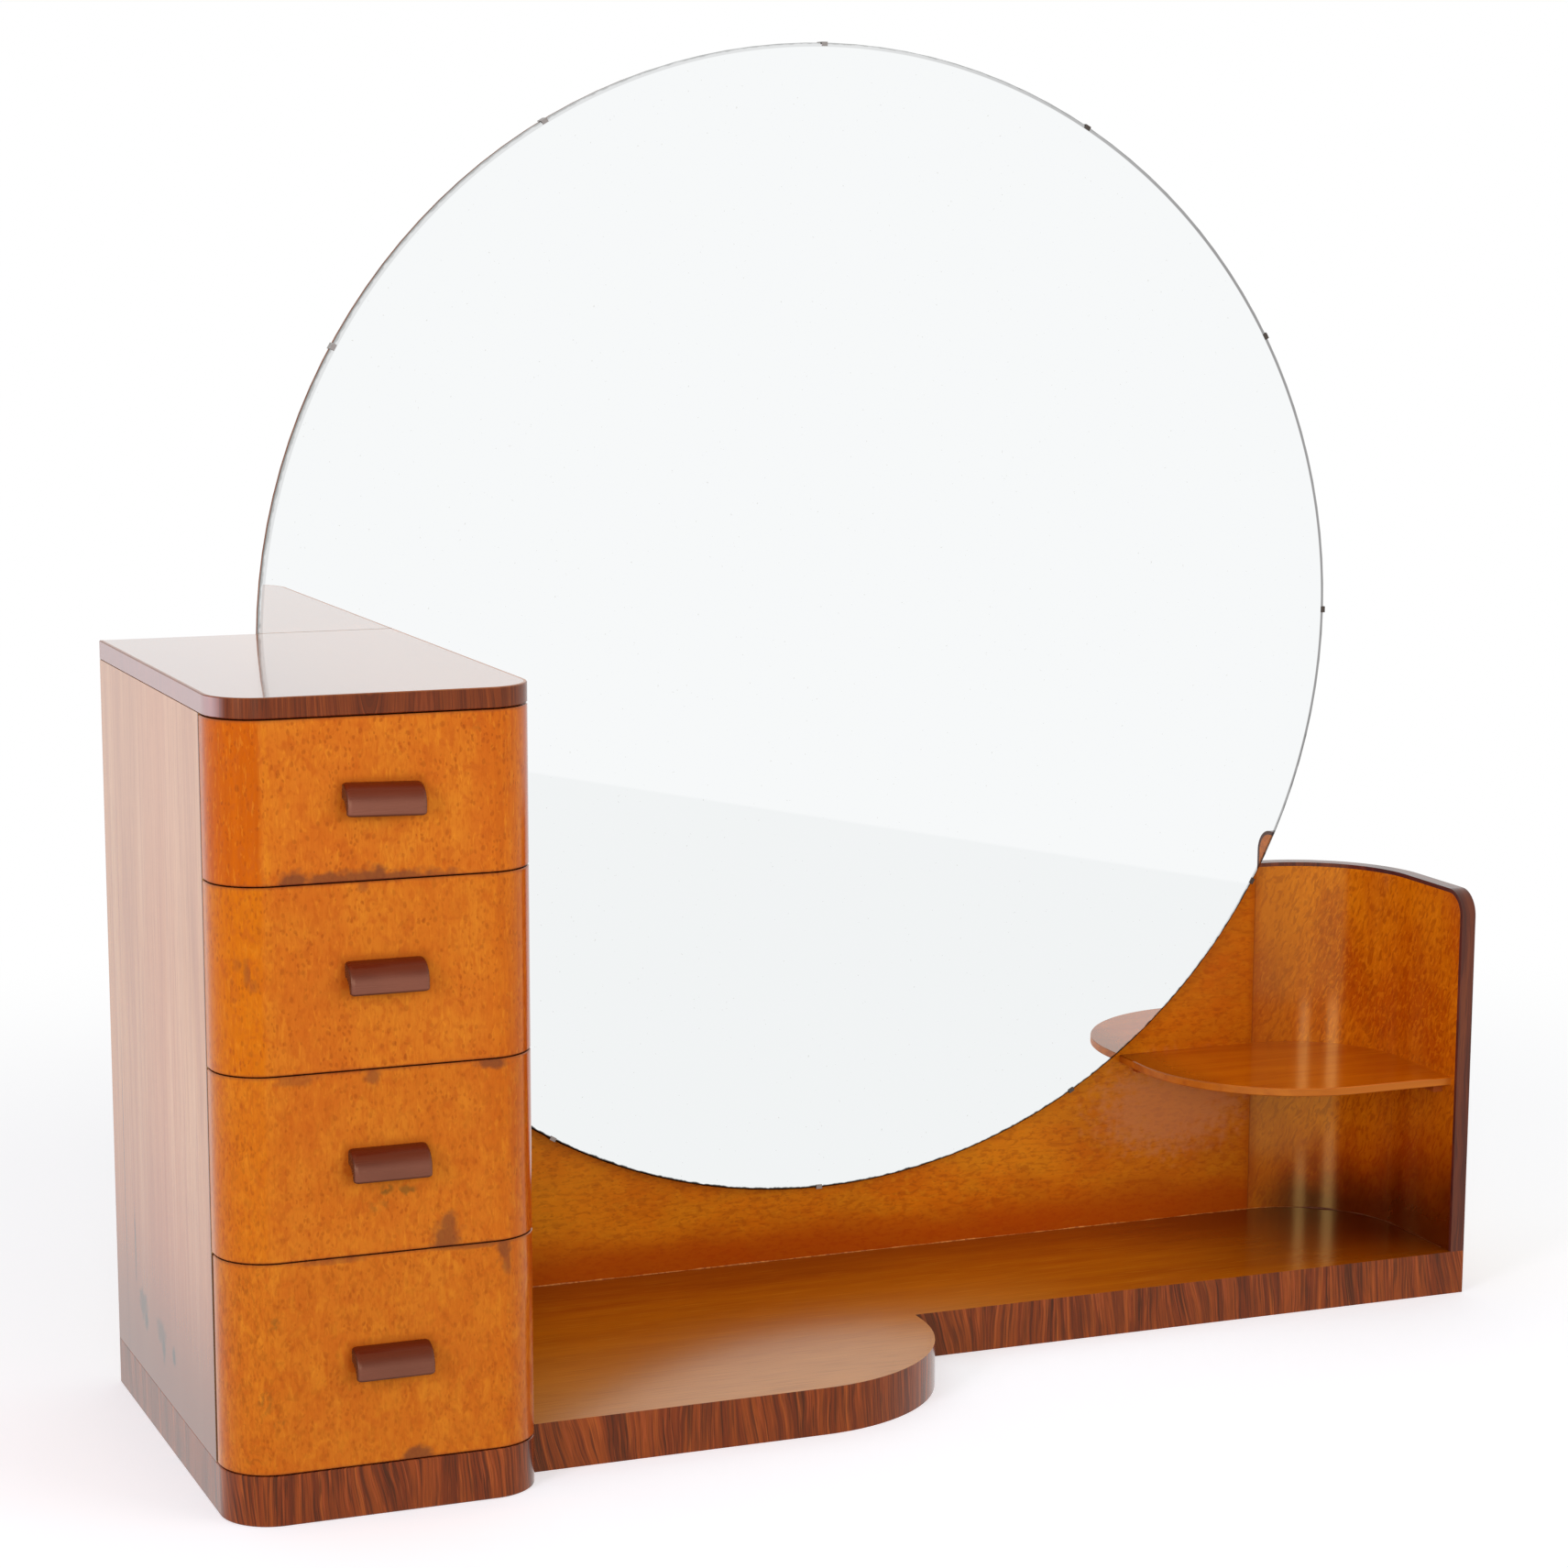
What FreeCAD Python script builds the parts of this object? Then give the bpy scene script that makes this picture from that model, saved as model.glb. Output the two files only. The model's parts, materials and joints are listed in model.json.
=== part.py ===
import FreeCAD, Part
import collections
import math
import os
import Sketcher

# A round-mirror dresser: a four-drawer pedestal on the left, a low deck with a rounded
# tongue in front, a back panel that sweeps round into a wing on the right, and a round
# mirror standing in front of the panel on two rear uprights.
#
# Frame: +X right, +Y to the back, +Z up, millimetres. The origin is on the floor, under the
# middle of the whole object. Plan outlines are drawn from the pedestal's left face (x) and
# from the front face of the mirror glass (y), so that forward is negative.

SIZES = {
    # pedestal
    "pedestal_width": 270.0,
    "pedestal_depth": 430.0,          # drawer front to the front of the mirror
    "pedestal_corner": 44.0,          # radius of the two rounded front corners
    "plinth_height": 43.0,
    "base_thickness": 18.0,
    "top_thickness": 17.0,
    "top_lip": 3.0,                   # rosewood band round the top board
    "plinth_lip": 4.0,                # rosewood band round the plinth and the deck
    "side_thickness": 16.0,
    "back_thickness": 6.0,
    "back_rebate": 8.0,
    "mirror_gap": 1.0,                # pedestal back to mirror glass
    "arris": 0.8,                     # bevel that breaks a sharp edge
    # drawers, counted from the top
    "front_height_1": 133.0,
    "front_height_2": 154.0,
    "front_height_3": 154.0,
    "front_height_4": 178.0,
    "front_gap": 1.2,
    "wrap_length": 10.0,              # straight end of a front behind its rounded corner
    "stop_gap": 1.0,                  # that end to the front edge of the side panel
    "drawer_gap": 1.0,                # drawer side to side panel
    "drawer_side": 12.0,
    "drawer_back": 10.0,
    "drawer_bottom": 5.0,
    "bottom_lift": 10.0,              # lower edge of the drawer side to the bottom board
    "bottom_groove": 5.0,
    "box_lift": 8.0,                  # lower edge of the front to that of the sides
    "box_drop": 14.0,                 # upper edge of the front to that of the sides
    "rear_space": 13.0,
    "pin_width": 8.0,                 # narrow end of a dovetail pin
    "dovetail_flare": 1.6,            # widening of a pin over the thickness of the back
    "runner_height": 12.0,
    "runner_depth": 7.0,
    "runner_play": 0.3,               # under the top of the groove in the drawer side
    "runner_slack": 0.5,              # below the runner and beside it
    "runner_setback": 5.0,
    # handles
    "handle_length": 66.0,
    "handle_height": 26.0,
    "handle_reach": 18.0,
    "handle_lip": 6.5,                # thickness in front of the finger groove
    "handle_nose": 3.0,
    # deck
    "deck_depth": 206.0,              # front of the deck to the front of the mirror
    "deck_thickness": 18.0,
    "tongue_setback": 51.0,           # drawer fronts to the front of the tongue
    "tongue_reach": 437.0,            # pedestal's right side to the end of the tongue
    "tongue_straight": 11.0,          # its rounded corner to the front of the deck
    "rail_width": 25.0,
    # mirror
    "mirror_radius": 550.0,
    "mirror_centre": 424.0,           # pedestal's right side to the centre of the mirror
    "mirror_lift": 73.0,              # deck to the lowest point of the rim
    "glass_thickness": 5.0,
    "glass_bevel": 1.5,
    "backing_thickness": 6.5,
    "backing_inset": 0.5,
    "clip_width": 6.0,
    "clip_thickness": 0.8,
    "clip_overlap": 3.2,
    # back panel, wing and shelf
    "panel_thickness": 15.0,
    "panel_height": 364.0,            # above the deck, with its lip
    "panel_lip": 4.0,
    "panel_inset": 30.0,              # pedestal's left side to the hidden end of the panel
    "wing_corner": 110.0,             # inside radius of the bent corner
    "wing_nose": 25.0,                # radius of the wing's upper front corner
    "wing_mirror_gap": 1.0,
    "shelf_lift": 176.5,              # deck to the top of the shelf
    "shelf_thickness": 8.0,
    "shelf_setback": 10.0,            # behind the front edge of the wing
    "shelf_corner": 155.0,
    "shelf_mirror_gap": 13.0,
    "cleat_width": 10.0,
    "cleat_margin": 16.0,
    "packer_height": 100.0,
    # uprights behind the mirror
    "upright_width": 45.0,
    "upright_depth": 20.0,
    "upright_spacing": 460.0,
    "upright_height": 1050.0,
    "upright_slope": 30.0,
    "upright_screw_radius": 2.0,
    "upright_screw_head": 4.0,
    "upright_screw_bite": 11.0,
    "upright_screw_low": 100.0,
    "upright_screw_high": 300.0,
    "screw_clearance": 0.1,
}

DRAWERS = [alias[-1] for alias in SIZES if alias.startswith("front_height_")]
TAILS = 3                             # dovetail tails on each drawer side
CLIP_COUNT = 10
CLIP_STEP = 30                        # degrees from one clip to the next
FIRST_CLIP = -120                     # degrees, counted from the right, anticlockwise
SAME = 0.01                           # lengths closer than this are the same

doc = FreeCAD.newDocument("dresser")
sheet = doc.addObject("Spreadsheet::Sheet", "Sizes")
for row, (alias, number) in enumerate(SIZES.items(), start=1):
    sheet.set(f"A{row}", alias)
    sheet.set(f"B{row}", str(number))
    sheet.setAlias(f"B{row}", alias)
doc.recompute()


class Size:
    """A length in millimetres with the formula that gives it from the sheet."""

    def __init__(self, value, formula):
        self.value = float(value)
        self.formula = formula

    def __add__(self, other):
        other = as_size(other)
        return Size(self.value + other.value, f"({self.formula} + {other.formula})")

    def __sub__(self, other):
        other = as_size(other)
        return Size(self.value - other.value, f"({self.formula} - {other.formula})")

    def __mul__(self, other):
        other = as_size(other)
        return Size(self.value * other.value, f"({self.formula} * {other.formula})")

    def __truediv__(self, other):
        other = as_size(other)
        return Size(self.value / other.value, f"({self.formula} / {other.formula})")

    def __neg__(self):
        return as_size(0) - self


def as_size(number):
    if isinstance(number, Size):
        return number
    return Size(number, repr(float(number)))


def half_chord(radius, offset):
    """Half the width of a circle at a distance from its centre."""
    square = radius * radius - offset * offset
    return Size(math.sqrt(square.value), f"sqrt({square.formula})")


Names = collections.namedtuple("Names", SIZES)
of = Names(*(Size(sheet.get(alias), f"Sizes.{alias}") for alias in SIZES))
Arc = collections.namedtuple("Arc", "centre radius")
zero = as_size(0)


# ---- places that several pieces share -------------------------------------------------

front_y = -of.pedestal_depth
pedestal_back_y = -of.mirror_gap
backing_back_y = of.glass_thickness + of.backing_thickness
panel_back_y = backing_back_y + of.panel_thickness
upright_back_y = panel_back_y + of.upright_depth
wrap_end_y = front_y + of.pedestal_corner + of.wrap_length
front_thickness = of.side_thickness + of.drawer_gap
box_front_y = front_y + front_thickness
box_back_y = pedestal_back_y - of.back_thickness - of.rear_space

front_heights = {number: getattr(of, f"front_height_{number}") for number in DRAWERS}
front_z = {}
level = of.plinth_height + of.front_gap
for number in reversed(DRAWERS):
    front_z[number] = level
    level = level + front_heights[number] + of.front_gap
carcass_top_z = level

mirror_x = of.pedestal_width + of.mirror_centre
mirror_z = of.plinth_height + of.mirror_lift + of.mirror_radius
panel_top_z = of.plinth_height + of.panel_height
panel_board_z = panel_top_z - of.panel_lip
seam_x = mirror_x + half_chord(of.mirror_radius, mirror_z - panel_top_z) + of.wing_mirror_gap
wing_inner_x = seam_x + of.wing_corner
overall_width = wing_inner_x + of.panel_thickness
wing_centre_y = backing_back_y - of.wing_corner
wing_outer_corner = of.wing_corner + of.panel_thickness

deck_front_y = -of.deck_depth
tongue_front_y = front_y + of.tongue_setback
tongue_corner = deck_front_y - of.tongue_straight - tongue_front_y
tongue_end_x = of.pedestal_width + of.tongue_reach
shelf_top_z = of.plinth_height + of.shelf_lift
shelf_left_x = mirror_x + half_chord(of.mirror_radius, mirror_z - shelf_top_z) + of.shelf_mirror_gap

# the frame's origin, seen from the pedestal's left face and the front of the glass
left_x = -overall_width / 2
mirror_y = (of.pedestal_depth + of.handle_reach - upright_back_y) / 2


# ---- helpers --------------------------------------------------------------------------

pieces = {}


def keep(name, item):
    """Marks a finished piece, which is written to its own file."""
    item.Label = name
    pieces[name] = item
    return item


def place(item, x, y, z):
    item.setExpression("Placement.Base.x", (left_x + x).formula)
    item.setExpression("Placement.Base.y", (mirror_y + y).formula)
    item.setExpression("Placement.Base.z", as_size(z).formula)


def box(name, x, y, z):
    """A board between two values along each axis."""
    item = doc.addObject("Part::Box", name)
    item.Label = name
    for length, (low, high) in zip(("Length", "Width", "Height"), (x, y, z)):
        item.setExpression(length, (as_size(high) - low).formula)
    place(item, as_size(x[0]), as_size(y[0]), as_size(z[0]))
    return item


def group(name, items):
    item = doc.addObject("Part::Compound", name)
    item.Label = name
    item.Links = items
    return item


def cut(name, base, tool):
    item = doc.addObject("Part::Cut", name)
    item.Label = name
    item.Base = base
    item.Tool = tool
    return item


def vector(point):
    return FreeCAD.Vector(point[0].value, point[1].value, 0)


def tie(sketch, name, kind, places, size):
    """Adds a dimension to a sketch and binds it to the sheet."""
    index = sketch.addConstraint(Sketcher.Constraint(kind, *places, size.value))
    sketch.renameConstraint(index, name)
    sketch.setExpression(f"Constraints.{name}", size.formula)


def add_arc(sketch, start, end, arc):
    """Adds the shorter arc from start to end and says which of its ends is which."""
    centre, first, last = (vector(point) for point in (arc.centre, start, end))
    angles = [math.atan2(point.y - centre.y, point.x - centre.x) for point in (first, last)]
    forward = (angles[1] - angles[0]) % (2 * math.pi) <= math.pi
    if not forward:
        angles.reverse()
    circle = Part.Circle(centre, FreeCAD.Vector(0, 0, 1), arc.radius.value)
    index = sketch.addGeometry(Part.ArcOfCircle(circle, *angles))
    return (index, 1, 2) if forward else (index, 2, 1)


def draw_circle(sketch, radius):
    """Draws a whole circle about the sketch's origin."""
    circle = Part.Circle(FreeCAD.Vector(0, 0, 0), FreeCAD.Vector(0, 0, 1), radius.value)
    index = sketch.addGeometry(circle)
    sketch.addConstraint(Sketcher.Constraint("Coincident", index, 3, -1, 1))
    tie(sketch, "radius", "Radius", (index,), radius)


def draw(sketch, path):
    """Draws a closed outline of points, with an Arc between two points that a bend joins."""
    if isinstance(path, Size):
        draw_circle(sketch, path)
        return
    start, arc, runs = path[0], None, []
    for step in list(path[1:]) + [path[0]]:
        if isinstance(step, Arc):
            arc = step
            continue
        if arc is None:
            line = Part.LineSegment(vector(start), vector(step))
            runs.append((sketch.addGeometry(line), 1, 2))
        else:
            runs.append(add_arc(sketch, start, step, arc))
            tie(sketch, f"radius_{len(runs)}", "Radius", (runs[-1][0],), arc.radius)
        start, arc = step, None
    corners = [step for step in path if not isinstance(step, Arc)]
    for count, (run, corner) in enumerate(zip(runs, corners)):
        before = runs[count - 1]
        sketch.addConstraint(Sketcher.Constraint("Coincident", before[0], before[2], run[0], run[1]))
        tie(sketch, f"x_{count + 1}", "DistanceX", (-1, 1, run[0], run[1]), corner[0])
        tie(sketch, f"y_{count + 1}", "DistanceY", (-1, 1, run[0], run[1]), corner[1])


def padded(name, plane, path, height, reverse=False):
    """A body padded from an outline, or a circle's radius, on one of its own origin planes."""
    body = doc.addObject("PartDesign::Body", name)
    body.Label = name
    sketch = body.newObject("Sketcher::SketchObject", f"{name}_outline")
    support = [item for item in body.Origin.OriginFeatures if item.Role == plane][0]
    sketch.AttachmentSupport = [(support, "")]
    sketch.MapMode = "FlatFace"
    draw(sketch, path)
    pad = body.newObject("PartDesign::Pad", f"{name}_pad")
    pad.Profile = sketch
    pad.setExpression("Length", height.formula)
    pad.Reversed = reverse
    sketch.Visibility = False
    doc.recompute()
    return body


def dress(body, kind, size, chosen):
    """Rounds or bevels the edges of a body that a test picks out: kind is Fillet or Chamfer."""
    base = body.Tip
    names = [f"Edge{count}" for count, edge in enumerate(base.Shape.Edges, start=1) if chosen(edge)]
    assert names, f"{body.Label}: no edge to dress"
    feature = body.newObject(f"PartDesign::{kind}", f"{body.Label}_{kind.lower()}")
    feature.Base = (base, names)
    feature.setExpression("Radius" if kind == "Fillet" else "Size", size.formula)
    body.Tip = feature
    doc.recompute()


def near(first, second):
    return abs(first - as_size(second).value) < SAME


def middle(edge):
    return edge.valueAt((edge.FirstParameter + edge.LastParameter) / 2)


def is_level(edge):
    """True for an edge that keeps one height."""
    return edge.BoundBox.ZLength < SAME


def turned(profile):
    """A solid of revolution about +Z from (radius, height) pairs, as for a screw."""
    points = [FreeCAD.Vector(radius, 0, height) for radius, height in profile]
    face = Part.Face(Part.makePolygon(points + points[:1]))
    return face.revolve(FreeCAD.Vector(0, 0, 0), FreeCAD.Vector(0, 0, 1), 360)


def set_in(name, shape, spots):
    """Copies of one fastener as separate solids: each spot is a point and a direction."""
    item = doc.addObject("Part::Feature", name)
    copies = []
    for point, direction in spots:
        turn = FreeCAD.Rotation(FreeCAD.Vector(0, 0, 1), direction)
        copies.append(shape.transformed(FreeCAD.Placement(point, turn).toMatrix()))
    item.Shape = Part.makeCompound(copies)
    item.Label = name
    return item


def spot(x, y, z):
    """A point of the frame, for a fastener."""
    return FreeCAD.Vector((left_x + x).value, (mirror_y + y).value, as_size(z).value)


# ---- outlines in plan -----------------------------------------------------------------

def pedestal_path(inset, back):
    """The pedestal's plan, open at the back, moved inwards by an inset."""
    low, high = as_size(inset), of.pedestal_width - inset
    front = front_y + inset
    radius = of.pedestal_corner - inset
    return [
        (low, back),
        (low, front + radius), Arc((low + radius, front + radius), radius), (low + radius, front),
        (high - radius, front), Arc((high - radius, front + radius), radius), (high, front + radius),
        (high, back),
    ]


def deck_path(inset):
    """The deck's edge from the pedestal round the tongue and the wing to the back."""
    tongue_x = tongue_end_x - inset
    tongue_y = tongue_front_y + inset
    radius = tongue_corner - inset
    bend = (tongue_x - radius, tongue_y + radius)
    right_x = overall_width - inset
    corner = wing_outer_corner - inset
    return [
        (of.pedestal_width, tongue_y),
        (bend[0], tongue_y), Arc(bend, radius), (tongue_x, bend[1]),
        (tongue_x, deck_front_y + inset),
        (right_x, deck_front_y + inset),
        (right_x, wing_centre_y), Arc((seam_x, wing_centre_y), corner), (seam_x, panel_back_y - inset),
    ]


def wing_path(front):
    """The bent wing's plan: a quarter turn and a straight leg to the front."""
    return [
        (seam_x, backing_back_y), Arc((seam_x, wing_centre_y), of.wing_corner),
        (wing_inner_x, wing_centre_y), (wing_inner_x, front),
        (overall_width, front), (overall_width, wing_centre_y),
        Arc((seam_x, wing_centre_y), wing_outer_corner), (seam_x, panel_back_y),
    ]


def add_plan(name, path, z):
    """A board of a plan outline, between two heights."""
    body = padded(name, "XY_Plane", path, as_size(z[1]) - z[0])
    place(body, zero, zero, z[0])
    return body


# ---- pedestal -------------------------------------------------------------------------

def make_pedestal():
    width = of.pedestal_width
    pedestal_top_z = carcass_top_z + of.top_thickness
    top = add_plan("pedestal_top", pedestal_path(of.top_lip, pedestal_back_y),
                   (carcass_top_z, pedestal_top_z))
    keep("pedestal_top", top)

    band = pedestal_path(zero, pedestal_back_y) + pedestal_path(of.top_lip, pedestal_back_y)[::-1]
    edging = add_plan("pedestal_top_edging", band, (carcass_top_z, pedestal_top_z))
    dress(edging, "Chamfer", of.arris, is_outside_edge)
    keep("pedestal_top_edging", edging)

    base_low_z = of.plinth_height - of.base_thickness
    base = add_plan("pedestal_base", pedestal_path(of.plinth_lip, pedestal_back_y),
                    (base_low_z, of.plinth_height))
    keep("pedestal_base", base)
    make_plinth_rails((zero, base_low_z))

    band = pedestal_path(zero, pedestal_back_y) + pedestal_path(of.plinth_lip, pedestal_back_y)[::-1]
    edging = add_plan("pedestal_base_edging", band, (zero, of.plinth_height))
    dress(edging, "Chamfer", of.arris, is_outside_edge)
    keep("pedestal_base_edging", edging)

    front = wrap_end_y + of.stop_gap
    inner = of.side_thickness
    rebate = inner - of.back_rebate
    back_front_y = pedestal_back_y - of.back_thickness
    height = (of.plinth_height, carcass_top_z)
    for name, x, cutting in (("left", (zero, inner), (rebate, inner)),
                             ("right", (width - inner, width), (width - inner, width - rebate))):
        board = box(f"side_board_{name}", x, (front, pedestal_back_y), height)
        step = box(f"side_rebate_{name}", cutting, (back_front_y, pedestal_back_y), height)
        keep(f"pedestal_side_{name}", cut(f"pedestal_side_{name}", board, step))
    back = box("pedestal_back", (rebate, width - rebate), (back_front_y, pedestal_back_y), height)
    keep("pedestal_back", back)

    length = (front + of.runner_setback, back_front_y)
    for name, x in (("left", (inner, inner + of.runner_depth)),
                    ("right", (width - inner - of.runner_depth, width - inner))):
        strips = []
        for number in DRAWERS:
            top_z = groove_top_z(number) - of.runner_play
            strips.append(box(f"runner_{name}_{number}", x, length, (top_z - of.runner_height, top_z)))
        keep(f"runners_{name}", group(f"runners_{name}", strips))

    packer = box("pedestal_packer", (of.panel_inset, width - of.panel_inset),
                 (pedestal_back_y, backing_back_y),
                 (of.plinth_height, of.plinth_height + of.packer_height))
    keep("pedestal_packer", packer)


def make_plinth_rails(height):
    """Rails under the base board, with a quarter-round block behind each rounded corner."""
    low, high = of.plinth_lip, of.pedestal_width - of.plinth_lip
    front = front_y + of.plinth_lip
    radius = of.pedestal_corner - of.plinth_lip
    rail = of.rail_width
    sides_y = (front + radius, pedestal_back_y)
    ends_x = (low + rail, high - rail)
    blocks = []
    for name, centre_x, outside in (("left", low + radius, low), ("right", high - radius, high)):
        centre = (centre_x, front + radius)
        path = [centre, (outside, centre[1]), Arc(centre, radius), (centre_x, front)]
        blocks.append(add_plan(f"corner_block_{name}", path, height))
    rails = [
        box("plinth_rail_left", (low, low + rail), sides_y, height),
        box("plinth_rail_right", (high - rail, high), sides_y, height),
        box("plinth_rail_front", (low + radius, high - radius), (front, front + rail), height),
        box("plinth_rail_back", ends_x, (pedestal_back_y - rail, pedestal_back_y), height),
    ]
    keep("pedestal_plinth_rails", group("pedestal_plinth_rails", rails + blocks))


def is_outside_edge(edge):
    """The level edges round the outside of a pedestal-shaped band or front."""
    point = middle(edge)
    if not is_level(edge):
        return False
    if isinstance(edge.Curve, Part.Circle):
        return near(edge.Curve.Radius, of.pedestal_corner)
    return near(point.x, zero) or near(point.x, of.pedestal_width) or near(point.y, front_y)


# ---- drawers --------------------------------------------------------------------------

def box_height(number):
    return front_heights[number] - of.box_lift - of.box_drop


def joint_z():
    """Height of the drawer back's lower edge above that of the sides."""
    return of.bottom_lift + of.drawer_bottom


def tail_pitch(number):
    return (box_height(number) - joint_z()) / TAILS


def groove_top_z(number):
    """Top of the runner groove, which runs through the middle dovetail tail."""
    middle_z = joint_z() + tail_pitch(number) * (TAILS / 2)
    groove = of.runner_height + of.runner_play + of.runner_slack
    return front_z[number] + of.box_lift + middle_z + groove / 2


def side_path(number):
    """A drawer side seen along X: tails at the back, plain at the front."""
    root = box_back_y - of.drawer_back
    narrow = of.pin_width / 2
    wide = narrow + of.dovetail_flare
    path = [(box_front_y, zero), (box_back_y, zero), (box_back_y, joint_z()), (root, joint_z())]
    for tail in range(TAILS):
        low = joint_z() + tail_pitch(number) * tail
        high = joint_z() + tail_pitch(number) * (tail + 1)
        path += [(root, low + wide), (box_back_y, low + narrow)]
        path += [(box_back_y, high - narrow), (root, high - wide)]
    return path + [(root, box_height(number)), (box_front_y, box_height(number))]


def front_path():
    """A drawer front in plan: rounded outside, square inside, with a wrap at each end."""
    width = of.pedestal_width
    inner = front_thickness
    return pedestal_path(zero, wrap_end_y) + [
        (width - inner, wrap_end_y), (width - inner, box_front_y),
        (inner, box_front_y), (inner, wrap_end_y),
    ]


def handle_path():
    """The pull in section: a quarter-round back to a lip, with a finger groove behind it."""
    reach = of.handle_reach
    top = of.handle_height
    groove = reach - of.handle_lip
    return [
        (zero, top), Arc((zero, top - reach), reach), (-reach, top - reach),
        (-reach, of.handle_nose), Arc((of.handle_nose - reach, of.handle_nose), of.handle_nose),
        (of.handle_nose - reach, zero),
        (-groove, zero), Arc((zero, zero), groove), (zero, groove),
    ]


def make_drawer(number):
    name = f"drawer_{number}"
    width = of.pedestal_width
    low_z = front_z[number]
    box_z = low_z + of.box_lift
    outer = front_thickness
    inner = outer + of.drawer_side
    groove = inner - of.bottom_groove

    # the bottom board, and the groove in each piece that it runs in
    bottom_z = (box_z + of.bottom_lift, box_z + joint_z())
    bottom = box(f"{name}_bottom", (groove, width - groove),
                 (box_front_y - of.bottom_groove, box_back_y), bottom_z)
    keep(f"{name}_bottom", bottom)

    # handle, low enough for its middle to be that of the front
    handle_x = (width - of.handle_length) / 2
    handle_z = low_z + (front_heights[number] - of.handle_height) / 2
    handle = padded(f"{name}_handle", "YZ_Plane", handle_path(), of.handle_length)
    place(handle, handle_x, front_y, handle_z)
    dress(handle, "Chamfer", of.arris, is_handle_end)
    keep(f"{name}_handle", handle)

    # front
    body = add_plan(f"{name}_front_board", front_path(), (low_z, low_z + front_heights[number]))
    dress(body, "Chamfer", of.arris, is_outside_edge)
    keep(f"{name}_front", cut(f"{name}_front", body, bottom))

    # sides with a runner groove outside and the bottom's groove inside
    runner_top = groove_top_z(number)
    runner_z = (runner_top - of.runner_height - of.runner_play - of.runner_slack, runner_top)
    runner_y = (wrap_end_y + of.stop_gap, box_back_y)
    reach = of.runner_depth + of.runner_slack - of.drawer_gap
    blanks = []
    for side, x, slot in (("left", outer, (outer, outer + reach)),
                          ("right", width - inner, (width - outer - reach, width - outer))):
        blank = padded(f"{name}_side_blank_{side}", "YZ_Plane", side_path(number), of.drawer_side)
        place(blank, x, zero, box_z)
        blanks.append(blank)
        runner_slot = box(f"{name}_slot_{side}", slot, runner_y, runner_z)
        slots = group(f"{name}_cuts_{side}", [runner_slot, bottom])
        keep(f"{name}_side_{side}", cut(f"{name}_side_{side}", blank, slots))

    # back, cut round the tails of both sides
    board = box(f"{name}_back_board", (outer, width - outer), (box_back_y - of.drawer_back, box_back_y),
                (box_z + joint_z(), box_z + box_height(number)))
    keep(f"{name}_back", cut(f"{name}_back", board, group(f"{name}_tails", blanks)))


def is_handle_end(edge):
    """The edges of the pull's two ends, except in the finger groove and on the drawer front."""
    at_end = edge.BoundBox.XLength < SAME
    on_front = near(middle(edge).y, zero)
    in_groove = isinstance(edge.Curve, Part.Circle) and near(edge.Curve.Radius,
                                                             of.handle_reach - of.handle_lip)
    return at_end and not on_front and not in_groove


# ---- deck -----------------------------------------------------------------------------

def make_deck():
    board_z = (of.plinth_height - of.deck_thickness, of.plinth_height)
    tail = [
        (seam_x, panel_back_y), (of.panel_inset, panel_back_y),
        (of.panel_inset, pedestal_back_y), (of.pedestal_width, pedestal_back_y),
    ]
    keep("deck_board", add_plan("deck_board", deck_path(of.plinth_lip) + tail, board_z))

    band = deck_path(zero) + deck_path(of.plinth_lip)[::-1]
    keep("deck_edging", add_plan("deck_edging", band, (zero, of.plinth_height)))

    rail_z = (zero, board_z[0])
    rail = of.rail_width
    left = of.pedestal_width
    right = overall_width - of.plinth_lip
    tongue_right = tongue_end_x - of.plinth_lip
    deck_inside = deck_front_y + of.plinth_lip
    rear_front = panel_back_y - rail
    front_rail = box("deck_front_rail", (tongue_right, right), (deck_inside, deck_inside + rail), rail_z)
    keep("deck_front_rail", front_rail)
    rear_rail = box("deck_rear_rail", (left, seam_x), (rear_front, panel_back_y), rail_z)
    keep("deck_rear_rail", rear_rail)

    tongue_inside = tongue_front_y + of.plinth_lip
    bend_y = tongue_front_y + tongue_corner
    straight_end = tongue_end_x - tongue_corner
    middle_x = (tongue_right + right) / 2
    rails = [
        box("cross_rail_pedestal", (left, left + rail), (tongue_inside, rear_front), rail_z),
        box("cross_rail_tongue", (straight_end - rail, straight_end), (tongue_inside, rear_front), rail_z),
        box("cross_rail_tongue_end", (tongue_right - rail, tongue_right), (bend_y, rear_front), rail_z),
        box("cross_rail_middle", (middle_x, middle_x + rail), (deck_inside + rail, rear_front), rail_z),
        box("cross_rail_right", (right - rail, right), (deck_inside + rail, wing_centre_y), rail_z),
    ]
    keep("deck_cross_rails", group("deck_cross_rails", rails))


# ---- back panel, wing and shelf -------------------------------------------------------

def round_nose(body, front, radius):
    """Rounds the upper front corner of the wing."""
    top = body.Shape.BoundBox.ZMax - body.Placement.Base.z

    def is_nose(edge):
        point = middle(edge)
        return edge.BoundBox.YLength < SAME and near(point.y, front) and near(point.z, top)

    dress(body, "Fillet", radius, is_nose)


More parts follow.
